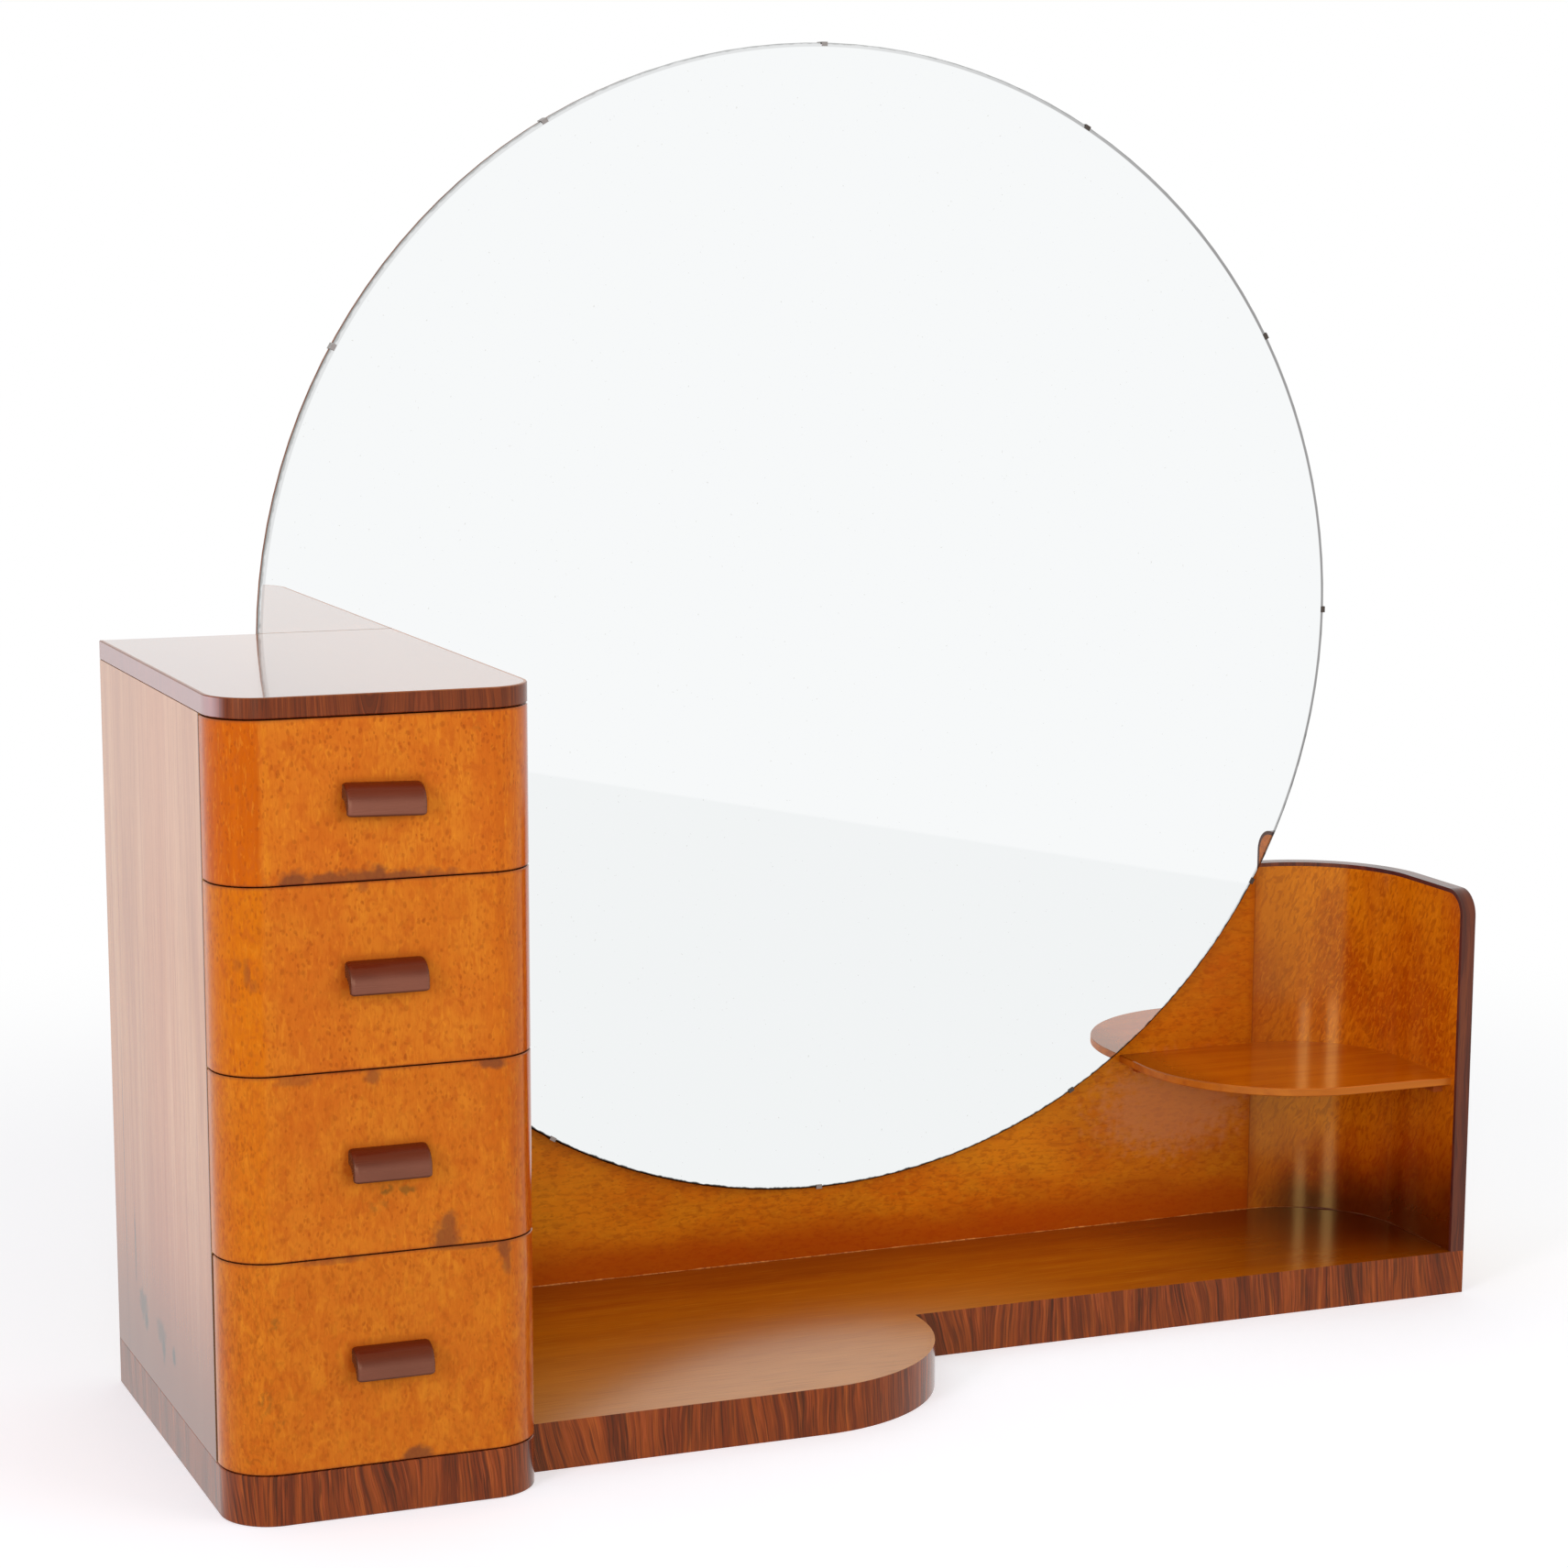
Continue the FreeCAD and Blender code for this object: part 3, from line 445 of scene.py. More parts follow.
def face_material(name, face, direction, back_wood, plane, roughness, coat=0.0, gloss=0.06,
                  relief=0.03 * MM, **constants):
    """Veneer on the side that faces a direction, plain wood on the others."""
    paint = Paint(name)
    if plane == "unrolled":
        paint.unroll(panel_low.y, None, -1)
    else:
        paint.lay(*plane)
    base, grain = face(paint)
    paint.place = paint.object
    veneered = paint.faces(direction)
    base = paint.mix(veneered, plain_wood(paint, *back_wood)[0], base)
    raw = paint.times(paint.less(1.0, veneered), 0.3)
    rough = paint.plus(paint.plus(paint.times(grain, 0.08), roughness), raw)
    return paint.finish(base, rough, grain, relief, coat, gloss, **constants)


def seam(paint, base):
    """The upright joint between the flat panel and the bent wing."""
    gap = paint.away(paint.axis("X"), seam_x)
    return paint.layers(base, (0.5, (112, 44, 6), gap, 1.2 * MM, 0.3 * MM),
                        (0.35, (150, 58, 4), gap, 9 * MM, 1 * MM))


def panel_face(paint):
    """The back panel's veneer: dense specks and short level dashes, redder near the deck."""
    clouds = paint.noise(12, (0.7, 1, 1), 4.0, 0.3)
    base = paint.ramp(clouds, (0.36, colour(208, 106, 5)), (0.62, colour(223, 130, 13)))
    base = paint.figure(base, (0.4, (208, 130, 16), 34, (0.5, 1, 1), 3.0, 0.4, 0.45, 0.62),
                        (0.35, (170, 80, 6), 320, (0.14, 1, 1), 3.0, 0.0, 0.48, 0.72),
                        (0.45, (156, 62, 2), 230, (0.45, 1, 1), 3.0, 0.6, 0.47, 0.66),
                        (0.4, (226, 142, 22), 170, (0.6, 1, 1), 3.0, 0.6, 0.52, 0.68))
    x = paint.axis("X")
    # painted light: lighter towards the left, against the mirror's shadow
    base = paint.layers(base, (0.18, (236, 166, 46), x, 0.0, -0.3))
    grain = paint.noise(1100, (0.3, 1, 1), 1.0)
    base = paint.tint(base, 0.15, grain, colour(128, 56, 6))
    dashes = paint.specks(3.2 * MM, 1.3 * MM, 0.5, (0.5, 1, 1), paint.shake(70, 7 * MM))
    dense = paint.band(paint.noise(26, detail=3.0), 0.36, 0.6)
    base = paint.tint(base, 0.28, paint.times(dashes, dense), colour(126, 46, 8))
    lumps = paint.times(paint.noise(14, (0.6, 1, 1), 3.0), 74 * MM)
    rise = paint.ratio(paint.less(paint.axis("Z"), deck_high.z), lumps)
    base = paint.layers(base, (0.78, (166, 54, 0), rise, 1.6, 0.3),
                        (0.36, (162, 62, 0), x, seam_x - 0.34, seam_x))
    # painted reflection: a soft pale sheen on the lacquer in the shelter of the shelf
    cloud = marks_from((shelf_low.x, shelf_low.z), [(60, -50, 90, 52, 0.54)])
    base = paint.mix(stain(paint, cloud), base, colour(204, 130, 84))
    return seam(paint, base), grain


RIPPLE_TILT = 62                      # degrees from level to the wing's flecks


def ripple_face(paint):
    """The wing's veneer: short slanted flecks over a golden ground, with painted shade at the
    foot.
    """
    level = paint.lean(RIPPLE_TILT)
    moved = paint.shake(40, 12 * MM)
    flecks = paint.noise(310, (0.4, 1, 1), 2.0, 0.6, moved)
    dark = paint.noise(215, (0.42, 1, 1), 2.0, 0.6, moved)
    paint.place = level
    clouds = paint.noise(15, (1, 0.6, 1), 4.0)
    base = paint.ramp(clouds, (0.38, colour(181, 80, 0)), (0.62, colour(209, 114, 2)))
    base = paint.layers(base, (0.5, (222, 128, 16), flecks, 0.48, 0.64),
                        (0.5, (146, 54, 0), dark, 0.48, 0.64))
    base = paint.figure(base, (0.3, (180, 74, 0), 60, (1, 0.1, 1), 3.0, 0.3, 0.5, 0.7))
    x = paint.axis("X")
    base = paint.layers(base, (0.35, (150, 60, 0), x, seam_x + 60 * MM, seam_x + 24 * MM))
    # painted shade: the foot darker in the corner against the deck, higher up towards the front
    lumps = paint.times(paint.noise(14, (1, 1, 1), 3.0, 0.4), 60 * MM)
    forward = paint.band(paint.axis("Y"), panel_low.y, deck_low.y)
    top = paint.plus(lumps, paint.times(forward, 75 * MM))
    rise = paint.ratio(paint.less(paint.axis("Z"), deck_high.z), top)
    away = paint.band(x, seam_x - 10 * MM, seam_x + 60 * MM)
    for amount, start, end, tone in ((0.6, 0.8, 3.2, (146, 36, 0)), (0.88, 0.3, 1.8, (62, 8, 0))):
        foot = paint.times(paint.below(rise, start, end), away)
        base = paint.tint(base, amount, foot, colour(*tone))
    return seam(paint, base), flecks


def deck_face(paint):
    """The deck's straight-grained golden veneer, with fine lines along its length."""
    lines = paint.noise(620, (0.03, 1, 1), 3.0)
    bands = paint.noise(36, (0.1, 1, 1), 3.0, 0.3)
    base = paint.ramp(bands, (0.3, colour(160, 76, 0)), (0.7, colour(182, 97, 2)))
    base = paint.layers(base, (0.4, (132, 60, 2), lines, 0.45, 0.75))
    base = paint.figure(base, (0.25, (206, 132, 34), 300, (0.06, 1, 1), 2.0, 0.0, 0.55, 0.7))
    # painted shade: the deck darker along the panel and in the wing's corner
    x, y = paint.axis("X"), paint.axis("Y")
    back = paint.plus(y, paint.times(paint.noise(9, detail=3.0), 0.08))
    ends = (panel_low.y - 0.08, panel_low.y + 0.03)
    base = paint.layers(base, (0.45, (122, 46, 0), back, *ends))
    right = paint.times(paint.band(x, seam_x - 0.24, wing_inner_x), paint.band(y, -0.1, 0.1))
    base = paint.tint(base, 0.92, right, colour(78, 8, 0))
    # the tongue is pale, partly worn and partly painted sheen, and there the dark lines show
    worn = paint.below(paint.plus(y, paint.times(x, -0.12)), -0.12, 0.1)
    worn = paint.times(worn, paint.below(x, 0.06, 0.3))
    base = paint.tint(base, 0.64, worn, colour(214, 147, 62))
    threads = paint.times(worn, paint.band(lines, 0.45, 0.7))
    return paint.tint(base, 0.3, threads, colour(138, 76, 20)), lines


def shelf_face(paint):
    """The shelf's veneer: fine level lines, darker at its left tip."""
    lines = paint.noise(420, (0.04, 1, 1), 3.0)
    bands = paint.noise(45, (0.15, 1, 1), 2.0, 0.4)
    base = paint.ramp(bands, (0.3, colour(182, 82, 0)), (0.7, colour(200, 100, 4)))
    x = paint.axis("X")
    base = paint.layers(base, (0.35, (144, 58, 0), lines, 0.45, 0.75),
                        (0.6, (104, 40, 0), x, shelf_low.x + 0.06, shelf_low.x))
    return base, lines


def side_face(paint):
    """The pedestal's side veneer: upright grain and a crack near the back."""
    bands = paint.noise(20, (1, 0.07, 1), 4.0, 0.4)
    lines = paint.noise(240, (1, 0.03, 1), 3.0)
    base = paint.ramp(bands, (0.3, colour(190, 124, 84)), (0.5, colour(209, 148, 102)),
                      (0.7, colour(226, 174, 130)))
    base = paint.figure(base, (0.36, (174, 102, 70), 70, (1, 0.03, 1), 3.0, 0.0, 0.48, 0.66))
    base = paint.layers(base, (0.28, (148, 80, 48), lines, 0.48, 0.68))
    base = paint.figure(base, (0.35, (156, 80, 48), 900, (1, 0.03, 1), 2.0, 0.0, 0.5, 0.7))
    y, z = paint.axis("Y"), paint.axis("Z")
    # a redder band in the middle, paler towards the top; darker and redder towards the floor,
    # painted shade where the side reflects the floor's shadow
    base = paint.layers(base, (0.2, (210, 126, 86), paint.away(y, -0.02), 0.11, 0.02),
                        (0.3, (222, 176, 144), z, 0.4, 0.66),
                        (0.76, (158, 66, 2), z, 0.36, 0.03),
                        (0.6, (84, 36, 10), z, 0.2, 0.04))
    # painted shadow in the gap along the front edge, where the fronts meet the side
    front = paint.less(1.0, paint.beyond("Y", side_front + 2.2 * MM, 0.8 * MM))
    base = paint.tint(base, 0.9, front, colour(104, 30, 10))
    wander = paint.times(paint.noise(12, (0, 1, 1), 3.0), 10 * MM)
    gap = paint.away(paint.plus(y, wander), pedestal_back - 38 * MM)
    crack = paint.times(paint.below(gap, 0.4 * MM, 1.4 * MM), paint.below(z, 0.2, 0.42))
    return paint.tint(base, 0.9, crack, colour(64, 26, 10)), lines


# marks low on the pedestal's side, in mm before its back and above the floor
SIDE_MARKS = [(108, 104, 18, 14, 0.8), (118, 92, 8, 10, 0.95), (178, 98, 20, 12, 0.7),
              (186, 86, 7, 14, 0.95), (225, 90, 6, 10, 1.0), (80, 150, 3, 40, 0.7)]


def marked_side_face(paint):
    """The outer side has the marks as well."""
    base, lines = side_face(paint)
    marks = marks_from((pedestal_back, 0), SIDE_MARKS, -1)
    return paint.mix(stain(paint, marks, "YZ"), base, colour(52, 32, 10)), lines


def rosewood_material(name, lay, slope=1.0, shade=0.0, cast=colour(84, 44, 46), cover=None,
                      left_sheen=0.0):
    """Striped rosewood across its band, with a cast, a covering veneer and a painted pale sheen on
    its left.
    """
    paint = Paint(name)
    if cover:
        face, plane = cover
        paint.lay(*plane)
        veneer = face(paint)[0]
    lay(paint)
    run, height = paint.axis("X", paint.place), paint.axis("Y", paint.place)
    drift = paint.less(paint.noise(7, (1, 0, 1), 1.0), 0.42)
    lean = paint.times(paint.times(height, drift), 1.2 * slope)
    sway = paint.less(paint.noise(24, (1, 0.8, 1), 1.0), 0.5)
    run = paint.plus(run, paint.plus(lean, paint.times(sway, 6 * MM)))
    paint.place = paint.point(run, paint.times(height, 0.03))
    broad = paint.noise(42, detail=3.0)
    medium = paint.noise(150, detail=3.0)
    lines = paint.noise(380, detail=2.0)
    thin = paint.noise(640, detail=1.0)
    fine = paint.noise(1100, detail=1.0)
    base = paint.ramp(broad, (0.32, colour(85, 28, 13)), (0.45, colour(117, 43, 17)),
                      (0.56, colour(142, 62, 21)), (0.68, colour(97, 33, 15)))
    base = paint.layers(base, (0.65, (86, 26, 16), medium, 0.53, 0.62),
                        (0.55, (178, 88, 34), medium, 0.45, 0.36),
                        (0.6, (62, 20, 16), lines, 0.56, 0.63))
    group = paint.times(paint.band(thin, 0.53, 0.6), paint.band(broad, 0.56, 0.44))
    base = paint.tint(base, 0.62, group, colour(48, 14, 12))
    base = paint.layers(base, (0.45, (170, 78, 36), lines, 0.42, 0.36),
                        (0.35, (72, 22, 14), fine, 0.5, 0.66))
    if shade:
        base = paint.mix(shade, base, cast)
    # painted reflection: a pale lilac sheen on faces turned to the left
    if left_sheen:
        base = paint.tint(base, left_sheen, paint.faces((-1, 0, 0), 0.7, 0.95), colour(206, 180, 180))
    if cover:
        base = paint.mix(paint.faces((0, 0, 1), 0.6, 0.9), base, veneer)
    rough = paint.spread(fine, 0.08, 0.16)
    return paint.finish(base, rough, fine, 0.02 * MM, Specular_Tint=RED_GLOSS)


def round_pedestal(paint):
    """Patterns made after this run round the pedestal's corners."""
    paint.unroll(pedestal_low.y, (pedestal_low.x + pedestal_high.x) / 2)


def wood_material(name, wood):
    """Bare wood, matt."""
    paint = Paint(name)
    base, fibres = plain_wood(paint, *wood)
    rough = paint.spread(fibres, 0.15, 0.5)
    return paint.finish(base, rough, fibres, 0.15 * MM, specular=0.3)


def pull_material(body, darkened):
    """Brown pull: streaked along its length, with a painted sheen on its bulge and painted shade
    above, below and at its ends.
    """
    paint = Paint(f"{body}_pull_brown")
    cloud = paint.noise(60, (0.3, 1, 1), 3.0)
    streak = paint.noise(500, (0.05, 1, 1), 2.0)
    base = paint.ramp(cloud, (0.3, colour(98, 48, 37)), (0.7, colour(120, 64, 49)))
    base = paint.tint(base, 0.35, streak, colour(82, 36, 28))
    rise = paint.axis("Z", paint.facing)
    # painted sheen on the bulge
    bulge_sheen = paint.times(paint.band(rise, 0.5, 0.1), paint.band(rise, -0.5, -0.1))
    base = paint.tint(base, 0.42, bulge_sheen, colour(148, 97, 78))
    ends = paint.sum("ABSOLUTE", paint.axis("X", paint.facing))
    # painted shade above, below and at the ends
    base = paint.layers(base, (0.9, (100, 26, 0), rise, 0.3, 0.75),
                        (0.9, (74, 26, 8), rise, -0.3, -0.7),
                        (0.75, (64, 24, 10), ends, 0.45, 0.85))
    base = paint.mix(darkened, base, colour(58, 24, 12))
    rough = paint.spread(streak, 0.12, 0.22)
    return paint.finish(base, rough, streak, 0.03 * MM, specular=0.36, Specular_Tint=RED_GLOSS)


def mirror_material():
    """Silvered glass: bright in front, dark at the rim's edge, with a few specks in the silver."""
    paint = Paint("silvered_glass")
    specks = paint.band(paint.noise(420, detail=1.0), 0.77, 0.8)
    base = paint.tint((0.93, 0.945, 0.95, 1), 0.25, specks, colour(150, 140, 120))
    across = paint.less(paint.axis("X"), mirror_centre.x)
    up = paint.less(paint.axis("Z"), mirror_centre.z)
    spoke = {0: paint.point(across, up)}
    radius = paint.add("ShaderNodeVectorMath", spoke, operation="LENGTH").outputs["Value"]
    # a fine grey line runs round the rim, plainest on the right
    line = paint.band(radius, mirror_radius - 4.2 * MM, mirror_radius - 3.2 * MM)
    line = paint.times(line, paint.band(up, -0.42, -0.12))
    plain = paint.spread(paint.band(across, 0.0, 0.45), 0.66, 0.24)
    base = paint.tint(base, plain, line, colour(140, 138, 138))
    # the silver has gone dark at the very edge, unevenly, and along the lower rim the dark edge is
    # also painted shadow of the gap against the panel
    lower = paint.below(up, -0.35, 0.1)
    bite = paint.times(paint.noise(120, detail=4.0), 3.4 * MM)
    bite = paint.plus(bite, paint.times(lower, 1.2 * MM))
    lost = paint.band(paint.plus(radius, bite), mirror_radius, mirror_radius + 1.4 * MM)
    base = paint.tint(base, 0.45, lost, colour(110, 112, 108))
    # painted shadow with the lost silver: the lower rim near black
    base = paint.tint(base, 0.95, paint.times(lost, lower), colour(30, 28, 22))
    flat = paint.faces((0, -1, 0), 0.3, 0.5)
    base = paint.mix(flat, colour(60, 66, 60), base)
    paint.plug(paint.shader.inputs["Metallic"], paint.band(flat, 0.0, 1.0))
    haze = paint.times(paint.noise(3, detail=3.0), 0.004)
    rough = paint.plus(haze, paint.times(paint.less(1.0, flat), 0.2))
    return paint.finish(base, rough, coat=0.0)


def metal_material(name, tone, roughness, spotted=0.6, right=None):
    """Dull spotted metal, which may turn to another tone right of the mirror's middle."""
    paint = Paint(name)
    spots = paint.noise(400, detail=3.0)
    if right:
        turned = paint.band(paint.axis("X"), mirror_centre.x, mirror_centre.x + 0.3)
        tone = paint.mix(turned, tone, right)
    base = paint.tint(tone, spotted, spots, colour(50, 38, 30))
    rough = paint.spread(spots, 0.3, roughness)
    return paint.finish(base, rough, spots, 0.02 * MM, coat=0.0, Metallic=1.0)


def dress(material, *names):
    """Gives CAD nodes their material."""
    for name in names:
        slots = nodes[name].data.materials
        slots.clear()
        slots.append(material)


# marks on each drawer front, in mm from its lower left: across, up, two radii, strength
STAINS = {
    "drawer_1": [(118, 1, 74, 9, 0.8), (60, 1, 15, 12, 0.85), (86, 0, 22, 9, 0.8),
                 (110, 0, 20, 8, 0.75), (131, 1, 15, 12, 0.85), (153, 0, 16, 9, 0.75),
                 (182, 0, 22, 5, 0.5)],
    "drawer_2": [(23, 85, 3, 13, 0.45), (28, 74, 5, 6, 0.3), (16, 92, 3, 7, 0.25),
                 (118, 150, 5, 5, 0.4)],
    "drawer_3": [(184, 6, 14, 18, 0.75), (186, 20, 8, 12, 0.7), (226, 151, 16, 5, 0.8),
                 (124, 149, 8, 9, 0.6), (60, 150, 20, 5, 0.4)],
    "drawer_4": [(233, 172, 8, 12, 0.75), (236, 160, 5, 12, 0.6), (156, 3, 14, 9, 0.8),
                 (206, 177, 30, 3, 0.5), (90, 176, 30, 3, 0.4)],
}
SCUFFS = {
    "drawer_1": [(215, 120, 5, 4, 0.3)],
    "drawer_2": [(215, 96, 4, 4, 0.4)],
    "drawer_3": [(131, 53, 10, 5, 1.0), (151, 51, 9, 5, 0.9), (128, 40, 10, 6, 0.5)],
    "drawer_4": [(30, 62, 7, 11, 0.6), (38, 130, 6, 8, 0.6), (40, 44, 6, 5, 0.5)],
}
# how much painted shade deepens each front's rounded left end, how golden it is, how dulled the
# whole front has become, and how wide the painted shadow in the gap at its joint with the side is,
# in mm
AGES = {"drawer_1": (0.88, 0.0, 0.0, 1.0), "drawer_2": (0.8, 0.75, 0.1, 1.0),
        "drawer_3": (0.45, 0.9, 0.2, 1.6), "drawer_4": (0.1, 0.9, 0.28, 5.5)}
for body in DRAWERS:
    dress(front_material(body, STAINS[body], SCUFFS[body], *AGES[body]), f"{body}_front")

side_wood = wood_material("drawer_side_birch", ("Y", *DRAWER_WOOD))
back_wood = wood_material("drawer_back_birch", ("X", *DRAWER_WOOD))
ply = wood_material("plain_plywood", ("Y", colour(206, 168, 118), colour(172, 128, 82)))
for body in DRAWERS:
    dress(side_wood, f"{body}_side_left", f"{body}_side_right")
    dress(back_wood, f"{body}_back")
    dress(ply, f"{body}_bottom")
dress(side_wood, "runners_left", "runners_right")

dress(face_material("back_panel_burl", panel_face, (0, -1, 0), PLY, "XZ", 0.28,
                    Specular_Tint=WARM_GLOSS), "back_panel")
dress(face_material("wing_ripple", ripple_face, (-1, -1, 0), PINE_UP, "unrolled", 0.14,
                    specular=1.0, Specular_Tint=WING_GLOSS), "corner_wing")
dress(face_material("deck_veneer", deck_face, (0, 0, 1), PINE, "XY", 0.16, 0.16, 0.16,
                    0.12 * MM, IOR=1.42, Specular_Tint=WARM_GLOSS), "deck_board")
dress(face_material("shelf_veneer", shelf_face, (0, 0, 1), PINE_EDGE, "XY", 0.06, IOR=1.65,
                    Specular_Tint=SHELF_GLOSS), "corner_shelf")
dress(face_material("top_burl", top_face, (0, 0, 1), PINE, "XY", 0.15, **TOP_SHELLAC),
      "pedestal_top")
dress(face_material("side_veneer_left", marked_side_face, (-1, 0, 0), PINE_UP, "YZ", 0.2,
                    **SIDE_SHELLAC), "pedestal_side_left")
dress(face_material("side_veneer_right", side_face, (1, 0, 0), PINE_UP, "YZ", 0.2,
                    **SIDE_SHELLAC), "pedestal_side_right")
dress(wood_material("back_plywood", ("Z", *PLY[1:])), "pedestal_back")
dress(wood_material("mirror_backing_plywood", ("Z", colour(150, 92, 54), colour(112, 62, 34))),
      "mirror_backing")
dress(rosewood_material("rosewood_plinth", round_pedestal), "pedestal_base_edging")
dress(rosewood_material("rosewood_top", round_pedestal, shade=0.45, cast=colour(84, 34, 24),
                        cover=(top_face, "XY"), left_sheen=0.7), "pedestal_top_edging")
dress(rosewood_material("rosewood_deck", lambda paint: paint.unroll(deck_low.y),
                        cover=(deck_face, "XY")), "deck_edging")
dress(rosewood_material("rosewood_wing", lambda paint: paint.lay("X", "Z"), 0.3, 0.66,
                        colour(62, 34, 40)), "wing_edging")
dress(rosewood_material("rosewood_panel_lip", lambda paint: paint.lay("X", "Y"), 0.3, 0.3),
      "back_panel_edging")
dress(wood_material("pine_lengthwise", PINE), "pedestal_base", "deck_front_rail",
      "deck_rear_rail", "pedestal_packer", "pedestal_plinth_rails")
dress(wood_material("stained_cleats", ("X", colour(186, 92, 16), colour(150, 68, 8))),
      "shelf_cleats")
dress(wood_material("pine_front_to_back", ("Y", *PINE[1:])), "deck_cross_rails")
dress(wood_material("pine_upright", PINE_UP), "upright_left", "upright_right")
dress(mirror_material(), "mirror_glass")
# the tabs darken towards the right
dress(metal_material("clip_metal", colour(172, 166, 162), 0.3, 0.4, colour(96, 88, 82)),
      "mirror_clips")
dress(metal_material("screw_steel", colour(160, 156, 148), 0.25), "upright_screws")


# ---- small pieces ------------------------------------------------------------------------


def make_piece(name, shape, body, material):
    """Turns a bmesh into a smooth piece that rides on a body."""
    mesh = bpy.data.meshes.new(name)
    bmesh.ops.recalc_face_normals(shape, faces=shape.faces[:])
    shape.to_mesh(mesh)
    shape.free()
    for face in mesh.polygons:
        face.use_smooth = True
    mesh.materials.append(material)
    piece = bpy.data.objects.new(name, mesh)
    bpy.context.scene.collection.objects.link(piece)
    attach(piece, body)
    return piece


def join_rings(shape, rings):
    """A closed skin over a row of rings with as many points each."""
    for first, second in zip(rings, rings[1:]):
        for index in range(len(first)):
            after = (index + 1) % len(first)
            shape.faces.new((first[index], first[after], second[after], second[index]))
    shape.faces.new(rings[0])
    shape.faces.new(reversed(rings[-1]))


def add_head(shape, place, direction, radius, height, turn=0.0, sides=20, rings=4):
    """A domed screw or nail head standing on a surface, with a slot if it has a turn."""
    up = Vector(direction).normalized()
    across = Matrix.Rotation(turn, 3, up) @ up.orthogonal().normalized()
    other = up.cross(across)
    slot, floor = 0.14 * radius, 0.35 * height
    columns = []
    for step in range(sides):
        angle = 2 * math.pi * step / sides
        column = []
        for ring in range(rings + 1):
            reach = radius * math.cos(0.5 * math.pi * ring / (rings + 0.6))
            lift = height * math.sin(0.5 * math.pi * ring / (rings + 0.6))
            x, y = reach * math.cos(angle), reach * math.sin(angle)
            if turn and abs(y) < slot * 1.4 and ring:
                lift = min(lift, floor)
            column.append(shape.verts.new(Vector(place) + across * x + other * y + up * lift))
        columns.append(column)
    for step in range(sides):
        first, second = columns[step], columns[(step + 1) % sides]
        for ring in range(rings):
            shape.faces.new((first[ring], second[ring], second[ring + 1], first[ring + 1]))
    shape.faces.new([column[0] for column in reversed(columns)])
    shape.faces.new([column[rings] for column in columns])


BOTTOM_GROOVE = 5 * MM                # how far a drawer's bottom board sits in its front
SCREW_SPREAD = 20 * MM                # from the middle of a handle to each of its screws
SCREW_HEAD = (3.6 * MM, 2.0 * MM)     # radius and height
NAIL_HEAD = (1.8 * MM, 0.3 * MM)
NAIL_INSET = 5 * MM                   # from the edge of the pedestal's back board
NAIL_STEP = 78 * MM


def make_handle_screws(number, body, material):
    """Two round-headed screws inside a drawer hold its handle."""
    low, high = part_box(f"{body}_handle")
    inner_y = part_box(f"{body}_bottom")[0].y + BOTTOM_GROOVE
    middle = (low + high) / 2
    shape = bmesh.new()
    for side in (-1, 1):
        place = (middle.x + side * SCREW_SPREAD, inner_y, middle.z)
        add_head(shape, place, (0, 1, 0), *SCREW_HEAD, turn=0.7 + number + side)
    make_piece(f"{body}_handle_screws", shape, body, material)


def nail_row(low, high):
    """Evenly spaced places from one edge to the other, at about the nails' step."""
    count = round((high - low) / NAIL_STEP)
    run = high - low - 2 * NAIL_INSET
    return [low + NAIL_INSET + run * index / count for index in range(count + 1)]


def make_nails():
    """Nails round the edge of the pedestal's back board."""
    low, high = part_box("pedestal_back")
    across, up = nail_row(low.x, high.x), nail_row(low.z, high.z)
    places = [(x, z) for x in across for z in (up[0], up[-1])]
    places += [(x, z) for z in up[1:-1] for x in (across[0], across[-1])]
    shape = bmesh.new()
    for x, z in places:
        add_head(shape, (x, high.y, z), (0, 1, 0), *NAIL_HEAD, sides=12, rings=2)
    steel = metal_material("old_steel", colour(138, 132, 122), 0.35)
    make_piece("back_board_nails", shape, "frame", steel)


brass = metal_material("dull_brass", colour(150, 118, 62), 0.4)
for number, body in enumerate(DRAWERS):
    make_handle_screws(number, body, brass)
make_nails()


# ---- the pulls ---------------------------------------------------------------------------

PULL_NOSE = 3.0 * MM
PULL_GROOVE = 11.5 * MM
PULL_END = (4.5 * MM, 2.4 * MM)       # how far the rounding of an end runs along, and in
PULL_STEPS = 6                        # of the rounding
PULL_TURN = {"drawer_1": 1.7}         # degrees by which a pull has been screwed on crooked
PULL_SHARP = math.radians(35)         # edges that bend more than this stay sharp


def arc(centre, radius, start, end, steps):
    """Points of an arc, from one angle in degrees to another."""
    angles = [math.radians(start + (end - start) * step / steps) for step in range(steps + 1)]
    return [(centre[0] + radius * math.cos(a), centre[1] + radius * math.sin(a)) for a in angles]


def pull_section(depth, height, inset):
    """A quarter-round back, a lip, and a finger groove against the drawer's front."""
    groove = PULL_GROOVE + inset
    start = math.degrees(math.asin(inset / groove))
    return (arc((0, height - depth), depth - inset, 90, 0, 12)
            + arc((depth - PULL_NOSE, PULL_NOSE), PULL_NOSE - inset, 0, -90, 5)
            + arc((0, 0), groove, start, 90, 9))


